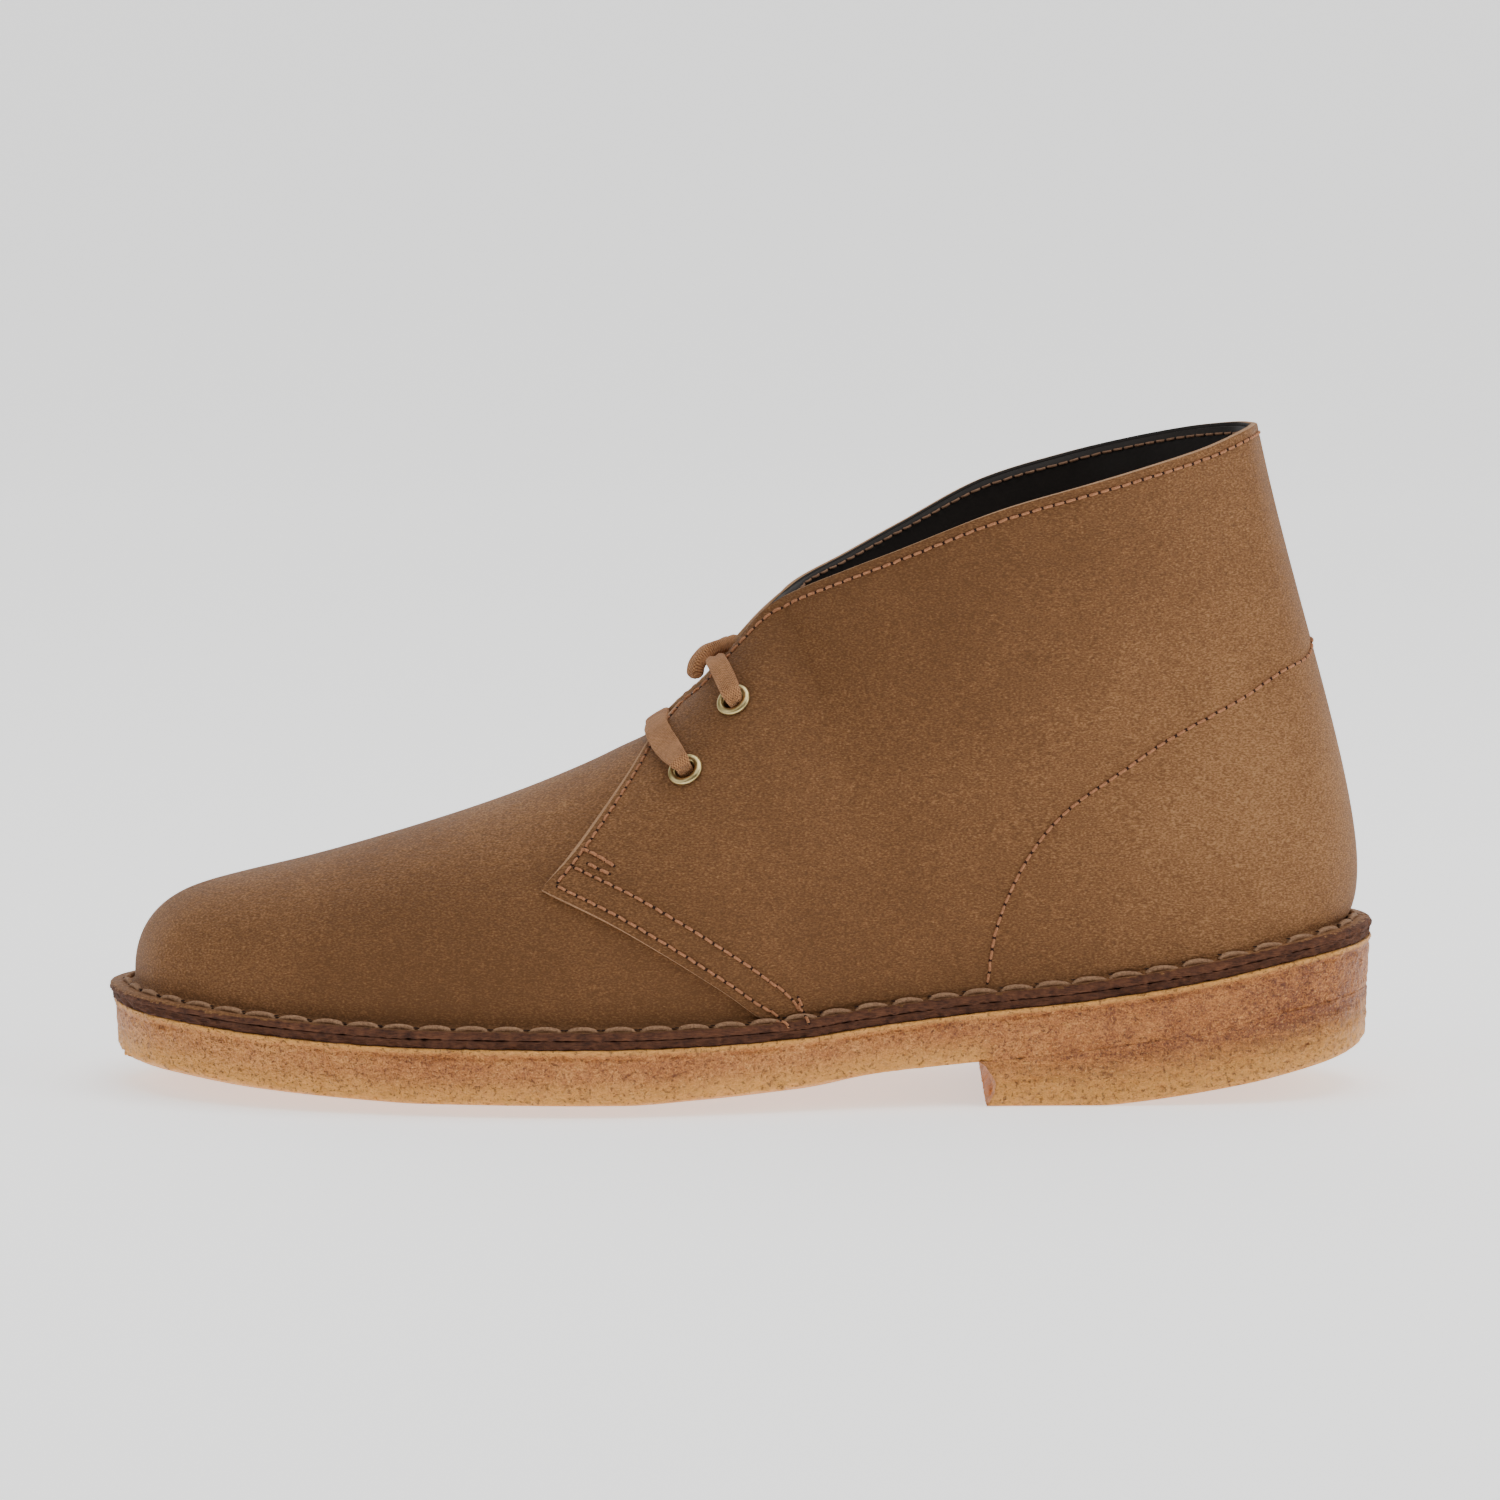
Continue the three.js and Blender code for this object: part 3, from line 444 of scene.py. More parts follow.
# Materials: expressions on wires become Math nodes
class Wire:
    def __init__(self, tree, socket):
        self.tree, self.socket = tree, socket

    def math(self, operation, *values):
        node = self.tree.nodes.new("ShaderNodeMath")
        node.operation = operation
        for k, value in enumerate(values):
            if isinstance(value, Wire):
                self.tree.links.new(value.socket, node.inputs[k])
            else:
                node.inputs[k].default_value = value
        return Wire(self.tree, node.outputs[0])

    def __add__(self, other):
        return self.math("ADD", self, other)

    def __radd__(self, other):
        return self.math("ADD", other, self)

    def __sub__(self, other):
        return self.math("SUBTRACT", self, other)

    def __rsub__(self, other):
        return self.math("SUBTRACT", other, self)

    def __mul__(self, other):
        return self.math("MULTIPLY", self, other)

    def __rmul__(self, other):
        return self.math("MULTIPLY", other, self)

    def __truediv__(self, other):
        return self.math("DIVIDE", self, other)

    def clipped(self, low, high):
        # 0 at low, 1 at high, straight between
        span = (self - low) / (high - low)
        return self.math("MAXIMUM", self.math("MINIMUM", span, 1.0), 0.0)


class Finish:
    def __init__(self, name):
        self.material = bpy.data.materials.new(name)
        self.material.use_nodes = True
        self.tree = self.material.node_tree
        self.shader = self.tree.nodes["Principled BSDF"]
        self.place = self.node("ShaderNodeTexCoord", output="Object")

    def node(self, kind, settings=None, inputs=None, output=0):
        node = self.tree.nodes.new(kind)
        for key, value in (settings or {}).items():
            setattr(node, key, value)
        for key, value in (inputs or {}).items():
            if isinstance(value, Wire):
                self.tree.links.new(value.socket, node.inputs[key])
            else:
                node.inputs[key].default_value = value
        return Wire(self.tree, node.outputs[output])

    def grain(self, size, detail=2.0, rough=0.5, at=None, distortion=0.0):
        # Noise with features of a size in millimetres
        return self.node("ShaderNodeTexNoise", None, {
            "Vector": at or self.place, "Scale": 1000 / size, "Detail": detail, "Roughness": rough,
            "Distortion": distortion})

    def cells(self, size, feature="F1", at=None):
        return self.node("ShaderNodeTexVoronoi", {"feature": feature}, {
            "Vector": at or self.place, "Scale": 1000 / size})

    def axis(self, letter, at=None):
        return self.node("ShaderNodeSeparateXYZ", None, {0: at or self.place}, output=letter)

    def stretch(self, scale, at=None):
        return self.node("ShaderNodeMapping", None, {"Vector": at or self.place, "Scale": scale})

    def blend(self, factor, a, b):
        return self.node("ShaderNodeMix", {"data_type": "RGBA"}, {0: factor, 6: colour(a), 7: colour(b)}, 2)

    def bump(self, height, distance, under=None):
        inputs = {"Height": height, "Distance": distance / 1000, "Strength": 1.0}
        if under:
            inputs["Normal"] = under
        return self.node("ShaderNodeBump", None, inputs)

    def put(self, **sockets):
        for key, value in sockets.items():
            name = {"base": "Base Color", "rough": "Roughness", "metal": "Metallic", "normal": "Normal",
                    "specular": "Specular IOR Level", "sheen": "Sheen Weight",
                    "sheenRough": "Sheen Roughness"}[key]
            socket = self.shader.inputs[name]
            if isinstance(value, Wire):
                self.tree.links.new(value.socket, socket)
            else:
                socket.default_value = colour(value) if key == "base" else value
        return self.material


def colour(value):
    return value if isinstance(value, Wire) or len(value) == 4 else (*value, 1.0)


nubuckLook = {
    "deep": (0.125, 0.054, 0.018), "brown": (0.222, 0.1, 0.038), "pale": (0.4, 0.205, 0.086),
    "grain": 0.4, "cloud": 14.0, "patch": 60.0, "roughness": 0.68,
}


def nubuck(name, lift=0.0):
    f = Finish(name)
    look = nubuckLook
    fine = f.grain(look["grain"], 3.0, 0.6, f.stretch((0.6, 0.6, 1.3)))
    nap = f.grain(1.3, 2.0, 0.55, f.stretch((0.5, 0.5, 1.4)))
    cloud = f.grain(look["cloud"], 3.0, 0.5)
    patch = f.grain(look["patch"], 2.0, 0.5)
    pores = f.cells(1.1).clipped(0.05, 0.3)
    # painted light and shade by place: paler at the toe, the back of the heel and the top of the vamp, darker
    # high up, and painted shade low on the sides
    high = f.axis("Z").clipped(0.02, 0.07)
    paintedLightAndShade = f.axis("X").clipped(-0.085, -0.14) * 0.33 + f.axis("X").clipped(0.05, 0.115) * 0.34
    paintedLightAndShade = paintedLightAndShade + f.axis("X").clipped(-0.01, -0.06) * f.axis("Z").clipped(0.045, 0.08) * 0.4
    paintedLightAndShade = paintedLightAndShade - f.axis("Z").clipped(0.08, 0.125) * 0.24
    # tone adds the painted light and shade above to the grain, nap and cloud
    tone = 0.24 + lift + paintedLightAndShade + (fine - 0.5) * 2.4 + (nap - 0.5) * 0.35 + (cloud - 0.5) * 0.28
    tone = tone + (patch - 0.5) * 0.3 + (high - 0.7) * 0.26 + (pores - 0.8) * 0.12
    dark = f.blend(tone.clipped(0.0, 0.5), look["deep"], look["brown"])
    base = f.blend(tone.clipped(0.5, 1.0), dark, look["pale"])
    height = fine * 0.9 + nap * 0.5 + pores * 0.25
    normal = f.bump(height, 0.3, f.bump(cloud, 0.5))
    return f.put(base=base, rough=look["roughness"] + (nap - 0.5) * 0.3, normal=normal,
                 specular=0.2, sheen=0.03, sheenRough=0.4)


def cutEdge(name):
    f = Finish(name)
    fibre = f.grain(0.35, 4.0, 0.7, f.stretch((1, 1, 2.4)))
    rough = f.grain(1.8, 2.0)
    base = f.blend(fibre.clipped(0.3, 0.72), (0.28, 0.14, 0.065), (0.6, 0.37, 0.21))
    return f.put(base=base, rough=0.85, normal=f.bump(fibre * 0.7 + rough * 0.3, 0.35), specular=0.25)


def lining(name):
    f = Finish(name)
    grain = f.grain(0.7, 3.0, 0.6)
    cloud = f.grain(12.0, 2.0)
    base = f.blend(grain * 0.6 + cloud * 0.4, (0.008, 0.006, 0.005), (0.026, 0.019, 0.015))
    return f.put(base=base, rough=0.6, normal=f.bump(grain, 0.1), specular=0.3)


def crepe(name, tone, layered):
    # Natural crepe: crumbs and pits, with a painted golden glow near the floor and a painted highlight along
    # the top lip
    f = Finish(name)
    crumb = f.cells(1.5, "F1", f.stretch((1, 1, 1.5)))
    lump = f.grain(3.2, 4.0, 0.62, f.stretch((1, 1, 1.8 if layered else 1.2)))
    fine = f.grain(0.45, 3.0, 0.65)
    drift = f.grain(24.0, 3.0, 0.55)
    pits = f.grain(0.85, 2.0, 0.6).clipped(0.6, 0.68)
    specks = f.grain(0.6, 2.0, 0.6, f.stretch((1, 1, 1.3))).clipped(0.6, 0.7)
    strata = f.grain(1.3, 3.0, 0.6, f.stretch((0.09, 0.09, 1.0)))
    mixed = 0.5 + (lump - 0.5) * 0.85 + (fine - 0.5) * 1.7 + (drift - 0.5) * 0.9 + (crumb - 0.35) * 0.35
    mixed = mixed + tone - f.axis("X").clipped(0.02, 0.1) * 0.24
    if layered:
        mixed = mixed + (strata - 0.5) * 1.1
    dark = f.blend(mixed.clipped(0.0, 0.5), (0.23, 0.062, 0.018), (0.59, 0.212, 0.055))
    base = f.blend(mixed.clipped(0.5, 1.05), dark, (0.95, 0.44, 0.125))
    # the rim attribute carries painted light: a golden glow near the floor and a highlight on the top lip
    rim = f.node("ShaderNodeAttribute", {"attribute_name": "rim"}, output="Fac")
    paintedGlow = rim * f.grain(1.3, 3.0, 0.65).clipped(0.22, 0.5)
    base = f.blend(paintedGlow * 0.85, base, (1.0, 0.47, 0.1))
    base = f.blend(specks * 0.5, base, (1.0, 0.55, 0.19))
    base = f.blend(pits * 0.5, base, (0.2, 0.055, 0.018))
    height = lump * 0.8 + fine * 0.55 - pits * 0.6 - crumb * 0.3
    normal = f.bump(height, 1.7)
    return f.put(base=base, rough=0.45 + (lump - 0.5) * 0.35, normal=normal, specular=0.55)


def fibreBoard(name, pale):
    f = Finish(name)
    fibre = f.grain(0.6, 4.0, 0.7, f.stretch((0.35, 0.35, 1.8)))
    lump = f.grain(2.6, 3.0, 0.6)
    mixed = fibre * 0.6 + lump * 0.4
    bright = (0.145 * pale, 0.054 * pale, 0.024 * pale)
    base = f.blend(mixed.clipped(0.34, 0.66), (0.03, 0.009, 0.005), bright)
    return f.put(base=base, rough=0.8, normal=f.bump(mixed, 0.7), specular=0.3)


def thread(name, deep, bright, size):
    f = Finish(name)
    twist = f.grain(size, 3.0, 0.6)
    fuzz = f.grain(size * 0.3, 2.0, 0.6)
    base = f.blend((twist * 0.6 + fuzz * 0.4).clipped(0.3, 0.7), deep, bright)
    return f.put(base=base, rough=0.72, normal=f.bump(twist, 0.25), specular=0.3)


def cotton(name):
    # Flat woven lace: two sets of slanted yarns on the strip's own map, in yarn widths
    f = Finish(name)
    strip = f.node("ShaderNodeUVMap", {"uv_map": "strip"})
    u, v = f.axis("X", strip), f.axis("Y", strip)
    over = f.node("ShaderNodeMath", {"operation": "SINE"}, {0: (u + v) * math.pi})
    under = f.node("ShaderNodeMath", {"operation": "SINE"}, {0: (u - v) * math.pi})
    weave = over * over * 0.5 + under * under * 0.5
    fuzz = f.grain(0.6, 3.0, 0.7)
    soil = f.grain(5.0, 3.0, 0.55)
    tone = (weave * 0.4 + fuzz * 0.45 + soil * 0.3 - 0.08).clipped(0.25, 0.75)
    base = f.blend(tone, (0.16, 0.064, 0.025), (0.7, 0.345, 0.155))
    return f.put(base=base, rough=0.9, normal=f.bump(weave * 0.6 + fuzz * 0.8, 0.45), specular=0.15,
                 sheen=0.08, sheenRough=0.5)


def brass(name):
    f = Finish(name)
    cloud = f.grain(2.2, 3.0, 0.6)
    wear = f.grain(0.5, 3.0, 0.6)
    base = f.blend(cloud.clipped(0.3, 0.7), (0.46, 0.35, 0.14), (0.74, 0.6, 0.3))
    return f.put(base=base, metal=1.0, rough=0.34 + (wear - 0.5) * 0.25 + (cloud - 0.5) * 0.15,
                 normal=f.bump(wear, 0.03))


def plainFinish(name, tone, rough):
    f = Finish(name)
    grain = f.grain(1.2, 3.0, 0.6)
    base = f.blend(grain.clipped(0.3, 0.7), tuple(c * 0.7 for c in tone), tone)
    return f.put(base=base, rough=rough, normal=f.bump(grain, 0.15), specular=0.25)


vampLeather = nubuck("vampNubuck", -0.02)
quarterLeather = nubuck("quarterNubuck")
rawEdge = cutEdge("rawLeatherEdge")
darkLining = lining("darkLining")
crepeSheet = crepe("crepeSheet", 0.02, False)
crepeHeel = crepe("crepeHeel", -0.09, True)
midsoleBoard = fibreBoard("midsoleBoard", 1.0)
flangeCut = fibreBoard("flangeCut", 1.25)
seamThread = thread("seamThread", (0.22, 0.075, 0.03), (0.62, 0.29, 0.14), 0.4)
liningThread = thread("liningThread", (0.16, 0.08, 0.045), (0.34, 0.19, 0.11), 0.5)
weltThread = thread("weltThread", (0.14, 0.066, 0.032), (0.48, 0.28, 0.155), 0.6)
laceCotton = cotton("laceCotton")
eyeletBrass = brass("antiqueBrass")
# painted shade for the needle holes at the stitch ends
holeShadeMaterial = plainFinish("needleHoleShadow", (0.03, 0.012, 0.006), 0.9)
sockLeather = plainFinish("sockLeather", (0.05, 0.035, 0.027), 0.7)
print("materials made")


# Camera, floor and light
view = {"distance": 1600.0, "rise": 7.0, "aim": (152.6, 0.0, 80.1), "lens": 161.3}


def placeAt(point):
    return Vector(tuple((np.array(point, float) + frameShift) / 1000))


def makeCamera():
    data = bpy.data.cameras.new("photoCamera")
    camera = bpy.data.objects.new("photoCamera", data)
    bpy.context.scene.collection.objects.link(camera)
    rise = math.radians(view["rise"])
    aim = placeAt(view["aim"])
    back = Vector((0, -math.cos(rise), math.sin(rise)))
    camera.location = aim + back * view["distance"] / 1000
    camera.rotation_mode = "QUATERNION"
    camera.rotation_quaternion = (-back).to_track_quat("-Z", "Y")
    data.lens = view["lens"]
    data.sensor_width = 36.0
    data.clip_start, data.clip_end = 0.05, 50.0
    bpy.context.scene.camera = camera


def makeStudio():
    world = bpy.data.worlds.new("studio")
    bpy.context.scene.world = world
    world.use_nodes = True
    world.node_tree.nodes["Background"].inputs[0].default_value = (1.0, 0.99, 0.97, 1)
    world.node_tree.nodes["Background"].inputs[1].default_value = 0.17
    lamps = [
        {"name": "overhead", "at": (0.15, -0.12, 1.5), "aim": (0, 0, 0.05), "size": 1.5, "watts": 17.5},
        {"name": "heelSide", "at": (1.35, -0.45, 0.8), "aim": (0.08, 0, 0.07), "size": 0.9, "watts": 8},
        {"name": "toeSide", "at": (-1.3, -0.6, 0.95), "aim": (-0.08, 0, 0.05), "size": 0.9, "watts": 3.6},
    ]
    for lamp in lamps:
        data = bpy.data.lights.new(lamp["name"], "AREA")
        data.energy, data.size = lamp["watts"], lamp["size"]
        light = bpy.data.objects.new(lamp["name"], data)
        light.location = lamp["at"]
        aim = Vector(lamp["aim"]) - Vector(lamp["at"])
        light.rotation_mode = "QUATERNION"
        light.rotation_quaternion = aim.to_track_quat("-Z", "Y")
        bpy.context.scene.collection.objects.link(light)
    # a pale sweep: flat floor, then a wide bend up behind
    bend, reach, wide, top = 0.8, 1.6, 4.0, 3.0
    profile = [(-4.0, 0.0), (reach, 0.0)]
    profile += [(reach + bend * math.sin(a), bend * (1 - math.cos(a))) for a in np.linspace(0.1, 1.57, 14)]
    profile += [(reach + bend, top)]
    points = [(x, y, z) for y, z in profile for x in (-wide, wide)]
    data = bpy.data.meshes.new("sweep")
    data.from_pydata(points, [], gridFaces(len(profile), 2))
    data.polygons.foreach_set("use_smooth", [True] * len(data.polygons))
    f = Finish("paleSweep")
    data.materials.append(f.put(base=(0.93, 0.93, 0.925), rough=0.9, specular=0.1))
    f.shader.inputs["Emission Color"].default_value = (1, 1, 1, 1)
    f.shader.inputs["Emission Strength"].default_value = 0.85
    sweep = bpy.data.objects.new("sweep", data)
    bpy.context.scene.collection.objects.link(sweep)


makeCamera()
makeStudio()
print("camera and studio made")


# Laces: a flat strip swept along stops, the broad face towards an "up" that points away from a core
lace = {"width": 5.0, "thick": 1.45, "round": 20, "step": 0.4, "yarn": 0.62, "groove": 0.45}
throatCore, barCore = np.array([150.0, 2.0, 86.9]), np.array([146.1, 0.0, 61.6])
eyelet = {"outer": 8.5, "bore": 4.8}
boreWidth = eyelet["bore"] - 2 * boot["gap"] - 0.6

seatAt = {"lower": (0.46, 0.492), "upper": (0.498, 0.59)}
seats = {}
for name, (at, high) in seatAt.items():
    for side in (-1, 1):
        place, row = findOnSide(side, at * boot["length"], high * boot["backHeight"])
        point, out = onSkin(side, place, row)
        seats[name, side] = (point, out)


def stripTrail(stops, core):
    # Centre, width and facing at even steps along the stops
    line = smoothCurve([list(s) for s in stops], False, 24)
    line = resample(line, max(8, int(lineLength(line[:, :3]) / lace["step"])))
    along = np.gradient(line[:, :3], axis=0)
    along /= np.linalg.norm(along, axis=1)[:, None]
    up = line[:, :3] - core
    up -= along * (up * along).sum(axis=1)[:, None]
    up /= np.linalg.norm(up, axis=1)[:, None]
    return line[:, :3], line[:, 3], along, up


def stripMesh(name, stops, core, thick, groove=0.0):
    centre, wide, along, up = stripTrail(stops, core)
    side = np.cross(along, up)
    count, ring = len(centre), lace["round"]
    far = np.concatenate([[0], np.cumsum(np.linalg.norm(np.diff(centre, axis=0), axis=1))])
    points, uv = [], []
    for i in range(count):
        w = wide[i] / 2
        h = thick / 2 * (1 + 0.5 * max(0.0, (lace["width"] - wide[i]) / lace["width"]))
        if groove:
            tip = max(0.25, 1 - (1 - min(1, (far[-1] - far[i] + 0.1) / 1.6)) ** 2) ** 0.5
            w, h = w * tip, h * tip
        # a woven edge wanders a little and the strip cups along its length
        w *= 1 + 0.05 * noise.noise((far[i] * 0.45, len(name), 0))
        roll = 0.1 * noise.noise((far[i] * 0.16, 7.3, len(name)))
        for t in range(ring):
            a = 2 * math.pi * t / ring
            s, c = math.cos(a), math.sin(a)
            across = math.copysign(abs(s) ** 0.6, s) * w
            high = math.copysign(abs(c) ** 0.75, c) * (h - groove * math.exp(-(across / 0.5) ** 2))
            high += 0.3 * roll * across
            points.append(centre[i] + side[i] * across + up[i] * high)
            uv.append((across / lace["yarn"], far[i] / lace["yarn"]))
    faces = gridFaces(count, ring, wrapColumns=True)
    faces.append(tuple(range(ring))[::-1])
    faces.append(tuple(range((count - 1) * ring, count * ring)))
    piece = makeMesh(name, points, faces, laceCotton, uv=uv)
    return piece, (centre + frameShift) / 1000


lateralStops = [
    (150.3, -17.0, 92.1, boreWidth), (149.1, -19.5, 94.1, boreWidth), (148.3, -20.9, 96.0, 4.6),
    (146.7, -17.5, 99.4, 5.0), (145.2, -13.1, 101.9, 5.0), (144.5, -8.4, 102.5, 4.8),
    (144.7, -4.0, 102.2, 4.6), (145.9, 0.3, 101.2, 4.4), (147.2, 4.2, 101.0, 4.0),
]
medialStops = [
    (149.4, 15.4, 92.2, boreWidth), (149.1, 18.5, 93.6, boreWidth), (149.0, 20.6, 96.0, 3.8),
    (149.3, 19.0, 100.6, 4.0), (148.5, 13.0, 104.4, 4.1), (146.0, 6.5, 104.3, 4.1), (142.3, 1.5, 103.4, 4.1),
    (139.9, -1.6, 100.6, 4.0), (139.5, -2.6, 97.6, 3.8),
]
laceEnds = (("lace_end_lateral", lateralStops, 2.4), ("lace_end_medial", medialStops, 3.3))
for name, stops, thick in laceEnds:
    piece, path = stripMesh(name + "_strip", stops, throatCore, thick, lace["groove"])
    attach(piece, "root")
    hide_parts(name)
print("lace ends made")


# Crumbled surface: vertices pushed along their normals by a depth that depends on place and facing
def crumble(piece, push):
    data = piece.data
    count = len(data.vertices)
    at, out = np.zeros(count * 3), np.zeros(count * 3)
    data.vertices.foreach_get("co", at)
    data.vertices.foreach_get("normal", out)
    at, out = at.reshape(-1, 3), out.reshape(-1, 3)
    local = at * 1000 - frameShift
    depth = np.array([push(Vector(p), Vector(n)) for p, n in zip(local, out)])
    data.vertices.foreach_set("co", (at + out * depth[:, None] / 1000).ravel())
    data.update()


def paint(piece, name, value):
    # A number at every vertex for the material to read
    data = piece.data
    layer = data.attributes.new(name, "FLOAT", "POINT")
    local = [v.co * 1000 - Vector(frameShift) for v in data.vertices]
    layer.data.foreach_set("value", [float(value(p)) for p in local])


def declare(piece, slot, *nodes):
    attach(piece, "root")
    if nodes:
        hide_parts(*nodes)


def slabPiece(name, look, topAt, lowAt, material):
    # A slab on the outline: side rows, then across underneath, up the other side and back over the top
    count, across = look["stations"], look["across"]
    shares = np.array(look["shares"])
    lines = {}
    for side in (-1, 1):
        for k, share in enumerate(shares):
            inset = mix(look["inset"], look["lowInset"], share)
            line = sideLine(side, inset, count)
            line += outwards(line, side) * endReach(line[:, :1], look["toeOut"], look["heelOut"])
            if "tuck" in look:
                # rounded under, but flush where the heel lift carries on
                flush = smoothStep(look["flushFrom"] - 8, look["flushFrom"], line[:, :1])
                line = mix(line - outwards(line, side) * look["tuck"][k], line, flush)
            lines[side, k] = line
    last = len(shares) - 1
    points = []
    for i in range(count + 1):
        loop = []
        for side in (-1, 1):
            for k in range(last + 1) if side < 0 else range(last, -1, -1):
                x, y = lines[side, k][i]
                loop.append((x, y, mix(topAt(x), lowAt(x, side), shares[k])))
            ends = (lines[side, last if side < 0 else 0][i], lines[-side, last if side < 0 else 0][i])
            for k in range(1, across):
                x, y = mix(ends[0], ends[1], k / across)
                share = (2 * k / across - 1) * -side
                loop.append((x, y, lowAt(x, share) if side < 0 else topAt(x)))
        points.extend(loop)
    size = len(points) // (count + 1)
    return makeMesh(name, points, gridFaces(count + 1, size, wrapColumns=True), material)


def sideShares(total, fine, coarse, margin):
    # Shares down a side: fine steps near the ends, coarse between, in millimetres
    steps = [0.0]
    while steps[-1] < total - 1e-6:
        near = min(steps[-1], total - steps[-1])
        steps.append(min(total, steps[-1] + (fine if near < margin else coarse)))
    return [s / total for s in steps]


def cornerShare(t):
    # How far a rounded corner has drawn in: 1 at its foot, 0 from t = 1 on
    return 1 - math.sqrt(max(0, 1 - (1 - min(1, t)) ** 2))


sheet = {
    "stations": 480, "across": 22, "shares": sideShares(13.0, 0.32, 0.62, 2.8), "inset": 0.3, "lowInset": 1.0,
    "lip": 0.32, "lipDepth": 1.25, "groove": 0.34, "grooveAt": 2.0, "grooveWidth": 0.32, "round": 1.3,
    "lump": 0.34, "lumpSize": 3.4, "crumb": 0.28, "crumbSize": 1.15, "ragged": 0.85, "flushFrom": 212.0,
    "toeOut": -0.2, "heelOut": 0.9,
}
sheet["tuck"] = [sheet["round"] * cornerShare((1 - s) * 13 / sheet["round"]) for s in sheet["shares"]]
outsole = slabPiece("crepe_sheet", sheet, crepeTop, crepeBottom, crepeSheet)


def crumbs(p):
    lumps = sheet["lump"] * noise.noise(p / sheet["lumpSize"])
    return lumps + sheet["crumb"] * noise.noise(p / sheet["crumbSize"] + Vector((7, 1, 3)))


def aheadOfHeel(x, fade):
    # 1 in front of the heel lift, 0 from where the lift carries the sheet's side on
    return smoothStep(sheet["flushFrom"], sheet["flushFrom"] - fade, x)


def sheetPush(p, n):
    facing = smoothStep(0.92, 0.5, abs(n.z)) if n.z > 0 else smoothStep(0.99, 0.7, abs(n.z))
    if facing <= 0:
        return 0.0
    below = crepeTop(p.x) - p.z
    wander = 0.35 * noise.noise(p / 14)
    lip = sheet["lip"] * smoothStep(sheet["lipDepth"] + 0.4 + wander, sheet["lipDepth"] - 0.3 + wander, below)
    deep = math.exp(-((below - sheet["grooveAt"] - wander) / sheet["grooveWidth"]) ** 2)
    deep *= 0.35 + 0.65 * smoothStep(-0.25, 0.35, noise.noise(p / 9 + Vector((4, 2, 9))))
    low = smoothStep(2.2, 0.2, p.z - crepeBottom(p.x, 1)) * aheadOfHeel(p.x, 6)
    ragged = sheet["ragged"] * low * noise.noise(p / 1.7 + Vector((1, 8, 5)))
    return facing * (lip - sheet["groove"] * deep + crumbs(p) + ragged - 0.12)


# Painted light on the sheet: a highlight along the top lip and a golden glow near the floor ahead of the heel
def sheetPaintedLight(p):
    low = smoothStep(7.5, 0.8, p.z - crepeBottom(p.x, 1))
    return max(smoothStep(1.5, 0.4, crepeTop(p.x) - p.z), low * aheadOfHeel(p.x, 8))


crumble(outsole, sheetPush)
paint(outsole, "rim", sheetPaintedLight)
declare(outsole, "crepe", "outsole")
print("crepe sheet made")

# Heel lift: rows from its top down, each run from the breast round the back and across the breast again
heelLook = {
    "steps": 210, "breast": 40, "inset": 0.95, "lowInset": 1.4, "shares": sideShares(20.0, 0.5, 0.7, 2.0),
    "layer": 0.3, "layerStep": 1.9, "tall": 20, "round": 1.1, "under": 2.6, "underTall": 3.6,
}


def liftTop(x):
    return crepeBottom(x, 0) + 0.3


def liftBottom(x):
    flat = boot["length"] - 0.7 * boot["heelLength"]
    t = max(0.0, (x - flat) / (boot["length"] + 1 - flat))
    return boot["heelRocker"] * t ** boot["heelCurve"]


def heelPiece():
    breast = boot["length"] - boot["heelLength"]
    points, shares = [], heelLook["shares"]
    for share in shares:
        cut = breast - 2 * (1 - share) + boot["breastHollow"] * math.sin(math.pi * share)
        inset = mix(heelLook["inset"], heelLook["lowInset"], share)
        above = (1 - share) * heelLook["tall"]
        inset += heelLook["round"] * cornerShare(above / heelLook["round"])
        under = heelLook["under"] * cornerShare(above / heelLook["underTall"])
        sides = {}
        for side in (-1, 1):
            line = sideLine(side, inset, 1600)
            line += outwards(line, side) * endReach(line[:, :1], 0, sheet["heelOut"] - under)
            line = line[np.argmax(line[:, 0] > cut):]
            sides[side] = resample(line, heelLook["steps"])
        ring = np.concatenate([sides[-1], sides[1][::-1][1:]])
        steps = np.linspace(0, 1, heelLook["breast"] + 1)[1:-1, None]
        ring = np.concatenate([ring, mix(sides[1][0], sides[-1][0], steps)])
        points += [(x, y, mix(liftTop(x), liftBottom(x), share)) for x, y in ring]
    size = len(points) // len(shares)
    faces = gridFaces(len(shares), size, wrapColumns=True)
    steps = heelLook["steps"]
    for start in (0, (len(shares) - 1) * size):
        for k in range(steps):
            a, b = start + k, start + k + 1
            c, d = start + 2 * steps - k - 1, start + 2 * steps - k
            faces.append((a, b, c, d) if start else (d, c, b, a))
    return makeMesh("heel_lift", points, faces, crepeHeel)


def heelPush(p, n):
    facing = smoothStep(0.97, 0.6, abs(n.z))
    if facing <= 0:
        return 0.0
    level = (crepeTop(p.x) - p.z) / heelLook["layerStep"] + 0.5 * noise.noise(p / 16)
    ply = heelLook["layer"] * noise.noise(Vector((p.x / 22, p.y / 22, level * 1.3)))
    return facing * (crumbs(p) + ply - 0.05)


heel = heelPiece()
crumble(heel, heelPush)
# painted golden glow on the heel lift, strongest near the floor
paint(heel, "rim", lambda p: smoothStep(14.0, 0.8, p.z - liftBottom(p.x)))
declare(heel, "heel_crepe", "heel")

